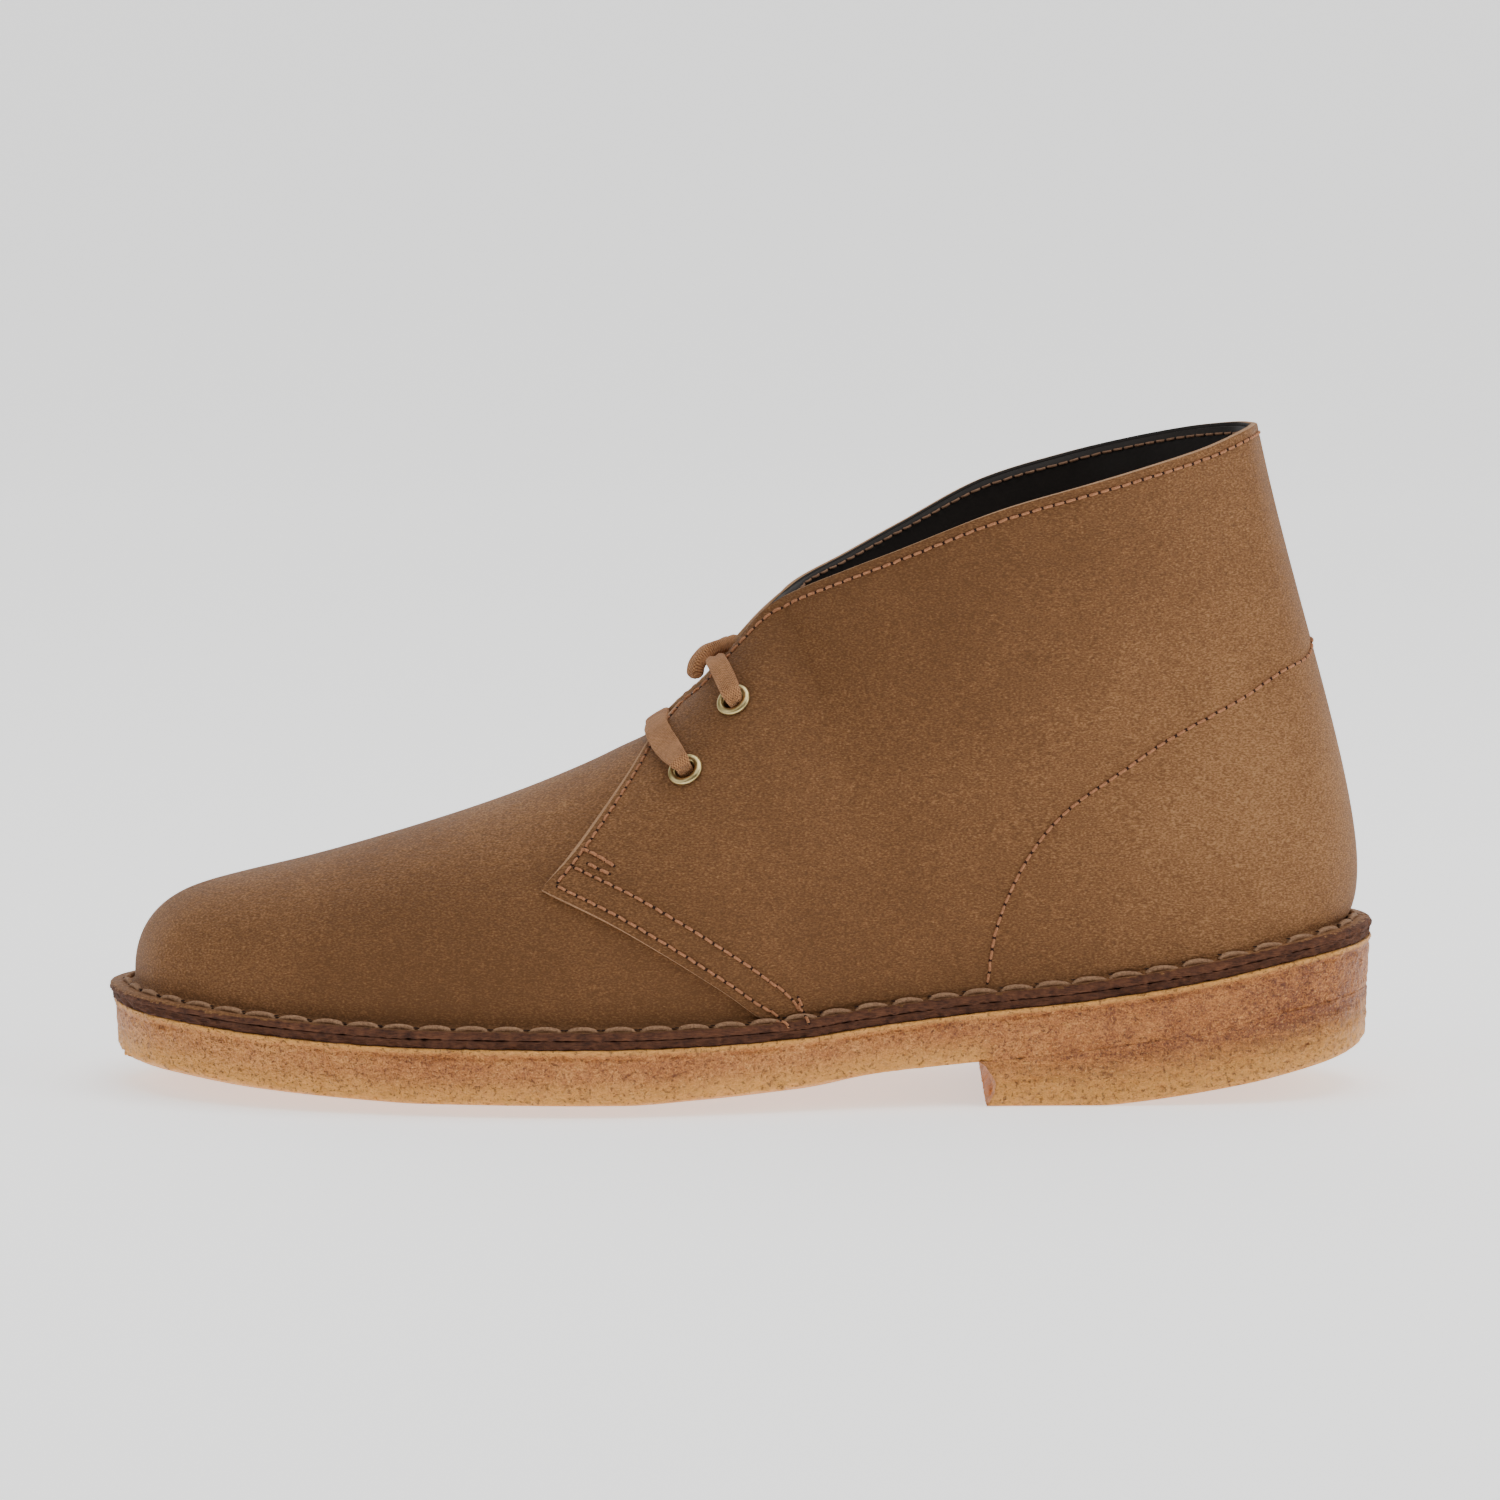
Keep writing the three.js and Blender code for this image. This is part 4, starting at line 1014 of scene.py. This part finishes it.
board = {"stations": 420, "across": 2, "shares": sideShares(1.8, 0.3, 0.3, 1), "inset": 0.35,
         "lowInset": 0.55, "toeOut": 0.5, "heelOut": 0.9}
midsole = slabPiece("midsole_board", board, lambda x: midsoleFoot(x) + boot["midsole"] + 0.15,
                    lambda x, across: midsoleFoot(x) - 0.1, midsoleBoard)
crumble(midsole, lambda p, n: 0.7 * smoothStep(0.95, 0.5, abs(n.z)) * noise.noise(p / 1.2)
        + 0.3 * smoothStep(0.95, 0.5, abs(n.z)) * noise.noise(p / 5) - 0.1)
declare(midsole, "midsole", "midsole")

sock = {"stations": 120, "across": 10, "shares": [0, 0.5, 1], "inset": 7.0, "lowInset": 7.0,
        "toeOut": 0, "heelOut": 0}
insole = slabPiece("insole_sock", sock, lambda x: flangeFoot(x) + boot["insole"],
                   lambda x, across: flangeFoot(x), sockLeather)
declare(insole, "insole", "insole")
print("heel, midsole and insole made")


# Vamp and tongue are one sheet, which dips under the quarters at the throat
vampLook = {
    "end": 0.588, "dipFrom": 0.44, "dipTo": 0.5, "dip": 2.4, "low": 0.5, "high": 0.85, "bridge": 10,
    "thick": 1.6, "arch": 0.7,
}


def vampDip(place, row):
    look = vampLook
    along = smoothStep(look["dipFrom"], look["dipTo"], place)
    return look["dip"] * along * smoothStep(look["low"], look["high"], row)


def wrapSheet(name, end, offsetAt, rowList, bridge, material, arch):
    # A sheet over the toe from one side's place to the other's, closed across the top
    places = np.linspace(0, end, int(end * stations * 1.25) + 1)
    sides = {}
    for side in (-1, 1):
        grid = np.meshgrid(places, rowList, indexing="ij")
        sides[side] = onSkin(side, grid[0], grid[1], offsetAt(grid[0], grid[1]))
    count, high = len(places), len(rowList)
    points = np.concatenate([sides[-1][0].reshape(-1, 3), sides[1][0].reshape(-1, 3)])
    faces = gridFaces(count, high)
    faces += [f[::-1] for f in gridFaces(count, high, count * high)]
    start, top = len(points), []
    for i in range(count):
        a, b = sides[-1][0][i, -1], sides[1][0][i, -1]
        up = sides[-1][1][i, -1] + sides[1][1][i, -1]
        up /= np.linalg.norm(up)
        wide = min(1.0, np.linalg.norm(b - a) / 6)
        for k in range(bridge + 1):
            t = k / bridge
            top.append(mix(a, b, t) + up * arch * wide * math.sin(math.pi * t))
    points = np.concatenate([points, top])
    faces += gridFaces(count, bridge + 1, start)
    return makeMesh(name, points, faces, material)


flangeShares = list(np.linspace(-1, 0, cornerRow + 1)[:-1])
vampRows = flangeShares + list(np.linspace(0, 1, wallRows + 1))
vamp = wrapSheet("vamp_and_tongue", vampLook["end"], lambda p, v: -vampDip(p, v), vampRows,
                 vampLook["bridge"], vampLeather, vampLook["arch"])


def thicken(piece, thick):
    work = bmesh.new()
    work.from_mesh(piece.data)
    bmesh.ops.recalc_face_normals(work, faces=work.faces)
    bmesh.ops.solidify(work, geom=work.faces[:], thickness=thick / 1000)
    bmesh.ops.recalc_face_normals(work, faces=work.faces)
    work.to_mesh(piece.data)
    work.free()
    piece.data.polygons.foreach_set("use_smooth", [True] * len(piece.data.polygons))
    piece.data.update()


thicken(vamp, vampLook["thick"])
declare(vamp, "upper", "tongue", "upper")

liningLook = {"under": 1.75, "topDrop": 0.006, "rim": -0.3, "rimDeep": 0.03}


def liningOffset(place, row):
    tail = 1 - smoothStep(vampLook["end"] + 0.004, vampLook["end"] + 0.03, place)
    return -liningLook["under"] + 0.55 * smoothStep(0.59, 0.63, place) - vampDip(place, row) * tail


def liningPiece():
    # The dark lining all round, its top just under the quarters' edge, closed across in front of the opening
    look = liningLook
    places = np.linspace(0, 1, 301)
    rowsUp = np.concatenate([np.linspace(0, 1, 50), [1, 1 - look["rimDeep"]]])
    count, high = len(places), len(rowsUp)
    sides, points, faces = {}, [], []
    for side in (-1, 1):
        grid = np.meshgrid(places, rowsUp, indexing="ij")
        offset = liningOffset(grid[0], grid[1])
        offset[:, -2:] = np.maximum(offset[:, -2:], look["rim"])
        drop = 1 - look["topDrop"] * smoothStep(0.59, 0.62, grid[0])
        sides[side] = onSkin(side, grid[0], grid[1] * drop, offset)[0]
        new = gridFaces(count, high, len(points))
        faces += new if side < 0 else [f[::-1] for f in new]
        points += list(sides[side].reshape(-1, 3))
    end = int(vampLook["end"] * 300)
    for i in range(end + 1):
        for k in range(7):
            points.append(mix(sides[-1][i, -3], sides[1][i, -3], k / 6))
    faces += gridFaces(end + 1, 7, 2 * count * high)
    # in front of the opening there is no rim
    keep = [f for f in faces if min(f) >= 2 * count * high
            or not (max(k % high for k in f) >= high - 2 and min(f) % (count * high) // high < end)]
    return makeMesh("lining", points, keep, darkLining)


liningMesh = liningPiece()
declare(liningMesh, "lining", "upper")
print("vamp, tongue and lining made")


# Quarters: one sheet from the lateral corner round the back to the medial corner
quarterRows = [
    (0.56, 0.9), (0.508, 0.7), (0.461, 0.588), (0.434, 0.533), (0.414, 0.481), (0.389, 0.42), (0.369, 0.373),
    (0.347, 0.3265),
]
lowerRows = [
    (0.347, 0.3265), (0.399, 0.283), (0.435, 0.245), (0.467, 0.207), (0.5, 0.163), (0.535, 0.1), (0.55, 0.02),
]
quarterLook = {
    "step": 0.0022, "rows": 100, "round": 0.5, "stitchIn": 2.4, "secondIn": 8.4, "liningIn": 1.3,
    "trough": 0.17, "troughWidth": 0.6, "seam": 0.35, "seamWidth": 0.45, "sideRun": 350, "flesh": -0.15,
    "inner": (0.8, 2.5, 6.0),
}
cutSteps = [0, 0.12, 0.3, 0.55, 0.9, 1.35, 1.85, 2.4, 2.95, 3.5, 4.2]


def sideCurve(table):
    size = np.array([boot["length"], boot["backHeight"]])
    return smoothCurve([np.array(r) * size for r in table], False, 8)


def edgeRows(side):
    # The cut edges as row against place: lower edge and front edge
    front = [findOnSide(side, x, z) for x, z in sideCurve(quarterRows[::-1])[:-14]]
    low = [findOnSide(side, x, z) for x, z in sideCurve(lowerRows)]
    front = np.array([f for f in front if f[1] < 0.985])
    low = np.array([f for f in low if f[1] > 0.01])
    slope = (front[-1] - front[-3]) / (front[-1][0] - front[-3][0])
    front = np.vstack([front, [front[-1][0] + (1 - front[-1][1]) / slope[1], 1]])
    fall = (low[-1] - low[-4]) / (low[-1][0] - low[-4][0])
    low = np.vstack([low, [low[-1][0] - low[-1][1] / fall[1], 0]])
    low = np.vstack([low, [low[-1][0] + 0.011, -1]])
    return front, low


def quarterColumns(side):
    front, low = edgeRows(side)
    start = max(front[0][0], low[0][0]) + 0.0004
    count = int((1 - start) / quarterLook["step"])
    places = np.linspace(start, 1, count + 1)
    vHigh = np.where(places > front[-1][0], 1.0, np.interp(places, front[:, 0], front[:, 1]))
    vLow = np.where(places > low[-1][0], -1.0, np.interp(places, low[:, 0], low[:, 1]))
    return places, vLow, np.maximum(vHigh, vLow + 0.004)


def quarterRowShares(length):
    # Shares up a column, closer together at its cut ends
    squeeze = min(1.0, length / 16)
    near = np.array(cutSteps) * squeeze / length
    inner = quarterLook["rows"] - 2 * len(cutSteps) + 2
    between = np.linspace(near[-1], 1 - near[-1], inner)[1:-1]
    return np.concatenate([near, between, 1 - near[::-1]])


quarterGrid = []
for side in (-1, 1):
    places, vLow, vHigh = quarterColumns(side)
    for place, a, b in zip(places, vLow, vHigh):
        fine = np.linspace(a, b, 60)
        line = onSkin(side, place, fine)[0]
        along = np.concatenate([[0], np.cumsum(np.linalg.norm(np.diff(line, axis=0), axis=1))])
        shares = quarterRowShares(max(along[-1], 0.5))
        quarterGrid.append((side, place, np.interp(shares * along[-1], along, fine), along[-1]))
lateralColumns = [c for c in quarterGrid if c[0] < 0]
medialColumns = [c for c in quarterGrid if c[0] > 0]
quarterGrid = lateralColumns + medialColumns[:-1][::-1]


def rowPoints(kind):
    pick = 0 if kind == "low" else -1
    return np.array([onSkin(c[0], c[1], c[2][pick])[0] for c in quarterGrid])


lowLine, highLine = rowPoints("low"), rowPoints("high")
lowCut = np.array([c[2][0] > -0.98 for c in quarterGrid])


def nearestTree(points):
    tree = kdtree.KDTree(len(points))
    for k, p in enumerate(points):
        tree.insert(p, k)
    tree.balance()
    return tree


lowTree, highTree = nearestTree(lowLine[lowCut]), nearestTree(highLine)


def quarterOffset(point, place, row):
    high, low = highTree.find(point)[2], lowTree.find(point)[2]
    near = min(high, low)
    look = quarterLook
    lift = boot["quarterRise"] * mix(0.15, 1, smoothStep(-0.3, 0.06, row))
    if near < look["round"]:
        lift -= 0.4 * (1 - math.sqrt(max(0, 1 - (1 - near / look["round"]) ** 2)))
    for d, deep in ((near, 1.0), (abs(low - look["secondIn"]) + look["stitchIn"], 0.8)):
        lift -= deep * look["trough"] * math.exp(-((d - look["stitchIn"]) / look["troughWidth"]) ** 2)
    back = (1 - place) * look["sideRun"]
    lift -= look["seam"] * math.exp(-(back / look["seamWidth"]) ** 2)
    return lift


def quarterPiece():
    inner = quarterLook["inner"]
    points, kinds = [], []
    for side, place, rowsUp, length in quarterGrid:
        base, out = onSkin(side, place, rowsUp)
        lift = np.array([quarterOffset(p, place, v) for p, v in zip(base, rowsUp)])
        column = base + out * lift[:, None]
        flesh = quarterLook["flesh"]
        lowEdge = base[0] + out[0] * flesh
        highEdge = base[-1] + out[-1] * flesh
        along = np.concatenate([[0], np.cumsum(np.linalg.norm(np.diff(base[::-1], axis=0), axis=1))])
        under = []
        for d in inner:
            v = np.interp(min(d, length * 0.4), along, rowsUp[::-1])
            p, n = onSkin(side, place, v)
            under.append(p + n * flesh)
        points.append(np.vstack([lowEdge, column, highEdge, under]))
    grid = np.array(points)
    count, high = grid.shape[:2]
    faces = gridFaces(count, high)
    for column in quarterGrid[:-1]:
        # columns meet the front edge at a slant, so more of their rows belong to the cut there
        top = 6 if column[2][-1] < 0.985 else 2
        kinds += [1] * 2 + [0] * (high - 3 - top - len(inner)) + [1] * top + [2] * len(inner)
    holes = [seats[key] for key in seats]
    middle = grid.reshape(-1, 3)
    keep, keepKinds = [], []
    for f, kind in zip(faces, kinds):
        c = (middle[f[0]] + middle[f[2]]) / 2
        inHole = False
        for point, out in holes:
            away = c - point
            level = away @ out
            if abs(level) < 6 and np.linalg.norm(away - out * level) < eyelet["outer"] / 2 - 0.75:
                inHole = True
        if not inHole:
            keep.append(f)
            keepKinds.append(kind)
    return makeMesh("quarters", middle, keep, quarterLeather, keepKinds, (rawEdge, darkLining))


quarters = quarterPiece()
rimTree = nearestTree(skinRing[:, 1])
flangeFray = {"depth": 0.6, "size": 1.2, "in": 1.3}


def flangeEdge(piece):
    # The cut side of the flange: rough, dark and a little uneven
    crumble(piece, lambda p, n: flangeFray["depth"] * noise.noise(p / flangeFray["size"])
            * smoothStep(0.35, 0.8, featherHeight(p.x) - p.z) * smoothStep(0.95, 0.5, abs(n.z)))
    data = piece.data
    slot = len(data.materials)
    data.materials.append(flangeCut)
    for face in data.polygons:
        p = face.center * 1000 - Vector(frameShift)
        stray = noise.noise(p / flangeFray["size"])
        worn = (flangeFray["in"] + stray) * smoothStep(18, 60, p.x)
        if p.z < featherHeight(p.x) - 0.5 - 0.4 * stray or rimTree.find(p)[2] < worn:
            face.material_index = slot


flangeEdge(vamp)
flangeEdge(quarters)
declare(quarters, "upper", "upper")
print("quarters made")


# Eyelets: turned rings with a rolled face, and the lower lace bar between two of them
def eyeletProfile():
    bore, outer = eyelet["bore"] / 2, eyelet["outer"] / 2
    base = boot["quarterRise"]
    line = [(bore, -boot["wall"] - 0.4), (bore, base + 0.35)]
    for a in np.linspace(180, 0, 15)[1:]:
        mid, half = (bore + outer) / 2, (outer - bore) / 2
        rise = 0.75 * math.sin(math.radians(a)) ** 0.9
        line.append((mid + half * math.cos(math.radians(a)), base + 0.25 + rise))
    line += [(outer - 0.05, base + 0.02), (outer - 0.5, base - 0.1), (bore + 0.35, base - 0.1),
             (bore + 0.35, -boot["wall"] - 0.4)]
    return line


for (name, side), (point, out) in seats.items():
    line = eyeletProfile()
    along = np.cross(out, (0, 0, 1))
    along /= np.linalg.norm(along)
    up = np.cross(out, along)
    points, turns = [], 72
    for k in range(turns):
        a = 2 * math.pi * k / turns
        spoke = along * math.cos(a) + up * math.sin(a)
        points += [point + spoke * r + out * z for r, z in line]
    node = "eyelet_" + name + ("_lateral" if side < 0 else "_medial")
    faces = gridFaces(turns, len(line), wrapColumns=True, wrapRows=True)
    ring = makeMesh(node + "_ring", points, faces, eyeletBrass)
    declare(ring, "eyelet", node)

barStops = []
barRests = [(0.45, 0.513), (0.442, 0.533)]
for side in (-1, 1):
    point, out = seats["lower", side]
    half = [tuple(point + out * lift) + (wide,) for lift, wide in
            ((-2.5, boreWidth), (0.4, boreWidth), (3.2, boreWidth + 0.3), (5.0, 4.6))]
    for at, high in barRests:
        place, row = findOnSide(side, at * boot["length"], high * boot["backHeight"])
        rest, away = onSkin(side, place, row)
        half.append(tuple(rest + away * 3.3) + (6.2,))
    barStops.append(half)
crest = mix(np.array(barStops[0][-1][:3]), np.array(barStops[1][-1][:3]), 0.5) + np.array([-0.2, 0, 1.1])
acrossStops = barStops[0] + [tuple(crest) + (6.4,)] + barStops[1][::-1]
bar = stripMesh("lace_bar_strip", acrossStops, barCore, lace["thick"])[0]
declare(bar, "lace", "lace_bar")
print("eyelets and lace bar made")


# Stitches: one small arched thread with painted shade for its two needle holes, set at every point of a row
def stitchGroup():
    group = bpy.data.node_groups.new("stitchRow", "GeometryNodeTree")
    inputs = [("Geometry", "NodeSocketGeometry")]
    inputs += [(size, "NodeSocketFloat") for size in ("Length", "Thickness", "Rise", "Hole")]
    inputs += [("Thread", "NodeSocketMaterial"), ("ShadeInHole", "NodeSocketMaterial")]
    for name, kind in inputs:
        group.interface.new_socket(name, in_out="INPUT", socket_type=kind)
    group.interface.new_socket("Geometry", in_out="OUTPUT", socket_type="NodeSocketGeometry")
    nodes, links = group.nodes, group.links
    source, sink = nodes.new("NodeGroupInput"), nodes.new("NodeGroupOutput")

    def add(kind, settings=None, inputs=None):
        node = nodes.new(kind)
        for key, value in (settings or {}).items():
            setattr(node, key, value)
        for key, value in (inputs or {}).items():
            if isinstance(value, bpy.types.NodeSocket):
                links.new(value, node.inputs[key])
            else:
                node.inputs[key].default_value = value
        return node

    def times(a, b):
        return add("ShaderNodeMath", {"operation": "MULTIPLY"}, {0: a, 1: b}).outputs[0]

    def spot(x, z):
        return add("ShaderNodeCombineXYZ", None, {"X": x, "Z": z}).outputs[0]
    length, thick, rise = source.outputs["Length"], source.outputs["Thickness"], source.outputs["Rise"]
    sunk = times(thick, -0.75)
    curve = add("GeometryNodeCurvePrimitiveBezierSegment", {"mode": "POSITION"}, {
        "Resolution": 9,
        "Start": spot(times(length, -0.5), sunk), "Start Handle": spot(times(length, -0.42), rise),
        "End Handle": spot(times(length, 0.42), rise), "End": spot(times(length, 0.5), sunk)})
    circle = add("GeometryNodeCurvePrimitiveCircle", {"mode": "RADIUS"}, {
        "Resolution": 9, "Radius": times(thick, 0.5)})
    strand = add("GeometryNodeCurveToMesh", None, {
        "Curve": curve.outputs[0], "Profile Curve": circle.outputs[0], "Fill Caps": True})
    strand = add("GeometryNodeSetMaterial", None, {
        "Geometry": strand.outputs[0], "Material": source.outputs["Thread"]})
    smooth = add("GeometryNodeSetShadeSmooth", None, {"Geometry": strand.outputs[0]})
    # two dark flattened balls at the ends are painted shade in the needle holes
    ball = add("GeometryNodeMeshUVSphere", None, {
        "Segments": 10, "Rings": 6, "Radius": source.outputs["Hole"]})
    dark = add("GeometryNodeSetMaterial", None, {
        "Geometry": ball.outputs[0], "Material": source.outputs["ShadeInHole"]})
    join = add("GeometryNodeJoinGeometry")
    links.new(smooth.outputs[0], join.inputs[0])
    for end in (-0.53, 0.53):
        hole = add("GeometryNodeTransform", None, {
            "Geometry": dark.outputs[0], "Translation": spot(times(length, end), 0.0),
            "Scale": (1.0, 0.8, 0.22)})
        links.new(hole.outputs[0], join.inputs[0])
    out = add("GeometryNodeInputNamedAttribute", {"data_type": "FLOAT_VECTOR"}, {"Name": "out"})
    along = add("GeometryNodeInputNamedAttribute", {"data_type": "FLOAT_VECTOR"}, {"Name": "along"})
    turn = add("FunctionNodeAxesToRotation", {"primary_axis": "Z", "secondary_axis": "X"}, {
        0: out.outputs["Attribute"], 1: along.outputs["Attribute"]})
    size = add("GeometryNodeInputNamedAttribute", {"data_type": "FLOAT"}, {"Name": "size"})
    scale = add("ShaderNodeCombineXYZ", None, {"X": size.outputs["Attribute"], "Y": 1.0, "Z": 1.0})
    placed = add("GeometryNodeInstanceOnPoints", None, {
        "Points": source.outputs["Geometry"], "Instance": join.outputs[0], "Rotation": turn.outputs[0],
        "Scale": scale.outputs[0]})
    real = add("GeometryNodeRealizeInstances", None, {"Geometry": placed.outputs[0]})
    links.new(real.outputs[0], sink.inputs[0])
    return group


stitches = stitchGroup()


def stitchRow(name, points, outs, look, slot, sizes=None):
    points, outs = np.asarray(points, float), np.asarray(outs, float)
    along = np.gradient(points, axis=0)
    along -= outs * (along * outs).sum(axis=1)[:, None]
    along /= np.linalg.norm(along, axis=1)[:, None]
    lean = np.array([noise.noise((k * 0.9, 3.3, len(name))) for k in range(len(points))])
    along += np.cross(outs, along) * (look["wander"] * lean)[:, None]
    sizes = np.ones(len(points)) if sizes is None else np.asarray(sizes, float)
    uneven = np.array([noise.noise((k * 1.7, 8.1, len(name))) for k in range(len(points))])
    sizes = sizes * (1 + 0.16 * uneven)
    data = bpy.data.meshes.new(name)
    data.from_pydata([tuple(p) for p in (points + outs * look["lift"] + frameShift) / 1000], [], [])
    columns = (("along", "FLOAT_VECTOR", along), ("out", "FLOAT_VECTOR", outs), ("size", "FLOAT", sizes))
    for key, kind, values in columns:
        layer = data.attributes.new(key, kind, "POINT")
        layer.data.foreach_set("vector" if kind == "FLOAT_VECTOR" else "value", values.ravel())
    source = bpy.data.objects.new(name + "_points", data)
    bpy.context.scene.collection.objects.link(source)
    change = source.modifiers.new("stitches", "NODES")
    change.node_group = stitches
    values = {"Length": look["length"] / 1000, "Thickness": look["thick"] / 1000, "Rise": look["rise"] / 1000,
              "Hole": look["hole"] / 1000, "Thread": look["thread"], "ShadeInHole": holeShadeMaterial}
    for item in stitches.interface.items_tree:
        if item.in_out == "INPUT" and item.name != "Geometry":
            change[item.identifier] = values[item.name]
    bpy.context.view_layer.update()
    made = bpy.data.meshes.new_from_object(source.evaluated_get(bpy.context.evaluated_depsgraph_get()))
    source.modifiers.remove(change)
    bpy.data.objects.remove(source)
    row = bpy.data.objects.new(name, made)
    bpy.context.scene.collection.objects.link(row)
    declare(row, slot)
    return row


seamStitch = {"pitch": 2.75, "length": 2.2, "thick": 0.64, "rise": 0.45, "hole": 0.46, "lift": 0.1,
              "wander": 0.16, "thread": seamThread}
tackStitch = dict(seamStitch, pitch=2.7, length=2.4, thick=0.8)
insideStitch = dict(seamStitch, thread=liningThread, hole=0.3)
weltStitch = {"pitch": 8.6, "length": 7.5, "thick": 1.45, "rise": 0.55, "hole": 0.6, "lift": 0.35,
              "wander": 0.1, "thread": weltThread, "in": 3.1, "onQuarter": 0.25}


def meshTree(piece):
    corners = [tuple(v.co * 1000 - Vector(frameShift)) for v in piece.data.vertices]
    return bvhtree.BVHTree.FromPolygons(corners, [tuple(p.vertices) for p in piece.data.polygons])


quarterTree = meshTree(quarters)


def snapRow(line, tree, pitch):
    # Even steps along a line, each set on the nearest surface
    line = np.asarray(line, float)
    line = resample(line, max(2, round(lineLength(line) / pitch)))
    middles = (line[1:] + line[:-1]) / 2
    points, outs = [], []
    for p in middles:
        at, normal, _, _ = tree.find_nearest(Vector(p))
        points.append(np.array(at))
        outs.append(np.array(normal))
    return np.array(points), np.array(outs)


def outwardNormals(points, outs):
    # Normals turned away from the inside of the boot
    x, z = np.clip(points[:, 0], 60, 240), np.clip(points[:, 2] * 0.6, 30, 80)
    inside = np.column_stack([x, np.zeros(len(points)), z])
    sign = np.sign(((points - inside) * outs).sum(axis=1))
    return outs * np.where(sign == 0, 1, sign)[:, None]


def insetLine(edge, out, distance, toward):
    # The edge moved along the surface by a distance, without the parts that come nearer to it than that
    along = np.gradient(edge, axis=0)
    along /= np.linalg.norm(along, axis=1)[:, None]
    inward = np.cross(out, along)
    sign = np.sign((inward * toward).sum(axis=1).mean())
    moved = edge + inward * sign * distance
    near = nearestTree(edge)
    keep = [near.find(q)[2] > distance * 0.96 for q in moved]
    return moved[keep], out[keep]


def clearOf(line, tree, distance):
    keep = [tree.find(q)[2] > distance * 0.96 for q in line[0]]
    return line[0][keep], line[1][keep]


def sewn(name, line, out, look=seamStitch):
    points, outs = snapRow(line + out * boot["quarterRise"], quarterTree, look["pitch"])
    stitchRow("stitch_" + name, points, outwardNormals(points, outs), look, "thread")


def curveOnSide(side, table):
    line = smoothCurve(table, False, 12)
    return onSkin(side, line[:, 0], line[:, 1])


tackRows = [
    [(113.4, 60.2), (115.5, 59.5), (118.2, 58.4), (121.0, 56.8)],
    [(120.4, 55.1), (117.2, 56.1), (114.8, 57.3)],
]
counterRow = [
    (1.0, 0.655), (0.977, 0.633), (0.934, 0.599), (0.887, 0.525), (0.846, 0.459), (0.803, 0.399),
    (0.766, 0.345), (0.737, 0.279), (0.712, 0.188), (0.696, 0.1), (0.689, 0.012),
]

for side in (-1, 1):
    label = "lateral" if side < 0 else "medial"
    columns = [c for c in quarterGrid if c[0] == side][::-side]
    cut = [c for c in columns if c[2][0] > -0.98]
    edge, out = onSkin(side, [c[1] for c in cut], [c[2][0] for c in cut])
    up = onSkin(side, [c[1] for c in cut], [c[2][0] + 0.05 for c in cut])[0] - edge
    lower = clearOf(insetLine(edge, out, quarterLook["stitchIn"], up), highTree, quarterLook["stitchIn"])
    second = clearOf(insetLine(edge, out, quarterLook["secondIn"], up), highTree, quarterLook["stitchIn"])
    edge, out = onSkin(side, [c[1] for c in columns], [c[2][-1] for c in columns])
    down = onSkin(side, [c[1] for c in columns], [c[2][-1] - 0.05 for c in columns])[0] - edge
    front = clearOf(insetLine(edge, out, quarterLook["stitchIn"], down), lowTree, quarterLook["stitchIn"])
    sewn("front_" + label, *front)
    sewn("lower_" + label, *lower)
    sewn("second_" + label, *second)
    for name, spots in zip(("tack_upper_", "tack_under_"), tackRows):
        tack = [findOnSide(side, x, z) for x, z in spots]
        sewn(name + label, *curveOnSide(side, tack), look=tackStitch)
    sewn("counter_" + label, *curveOnSide(side, counterRow))
    # the collar row comes through on the lining
    places = np.linspace(0.6, 0.995, 80)
    row = 1 - liningLook["topDrop"] - quarterLook["liningIn"] / 118
    points, out = onSkin(side, places, row, liningOffset(places, np.full(80, row)) - 0.05)
    middles = resample(points, int(lineLength(points) / seamStitch["pitch"]))
    outs = np.stack([np.interp(middles[:, 0], points[:, 0], -out[:, k]) for k in range(3)], axis=1)
    outs /= np.linalg.norm(outs, axis=1)[:, None]
    stitchRow("stitch_inside_" + label, middles, outs, insideStitch, "thread")

for side in (-1, 1):
    line = sideLine(side, weltStitch["in"], 60)
    line = np.column_stack([line, np.interp(line[:, 0], denseX, featherDense)])
    count = round(lineLength(line) / weltStitch["pitch"])
    line = resample(line, count)
    points = (line[1:] + line[:-1]) / 2
    share = (np.arange(count) + 0.5) / count
    points[:, 2] += weltStitch["onQuarter"] * smoothStep(0.53, 0.56, share)
    outs = np.tile((0.0, 0.0, 1.0), (count, 1))
    name = "welt_stitch_" + ("lateral" if side < 0 else "medial")
    stitchRow(name, points, outs, weltStitch, "welt_thread")
print("stitches made")
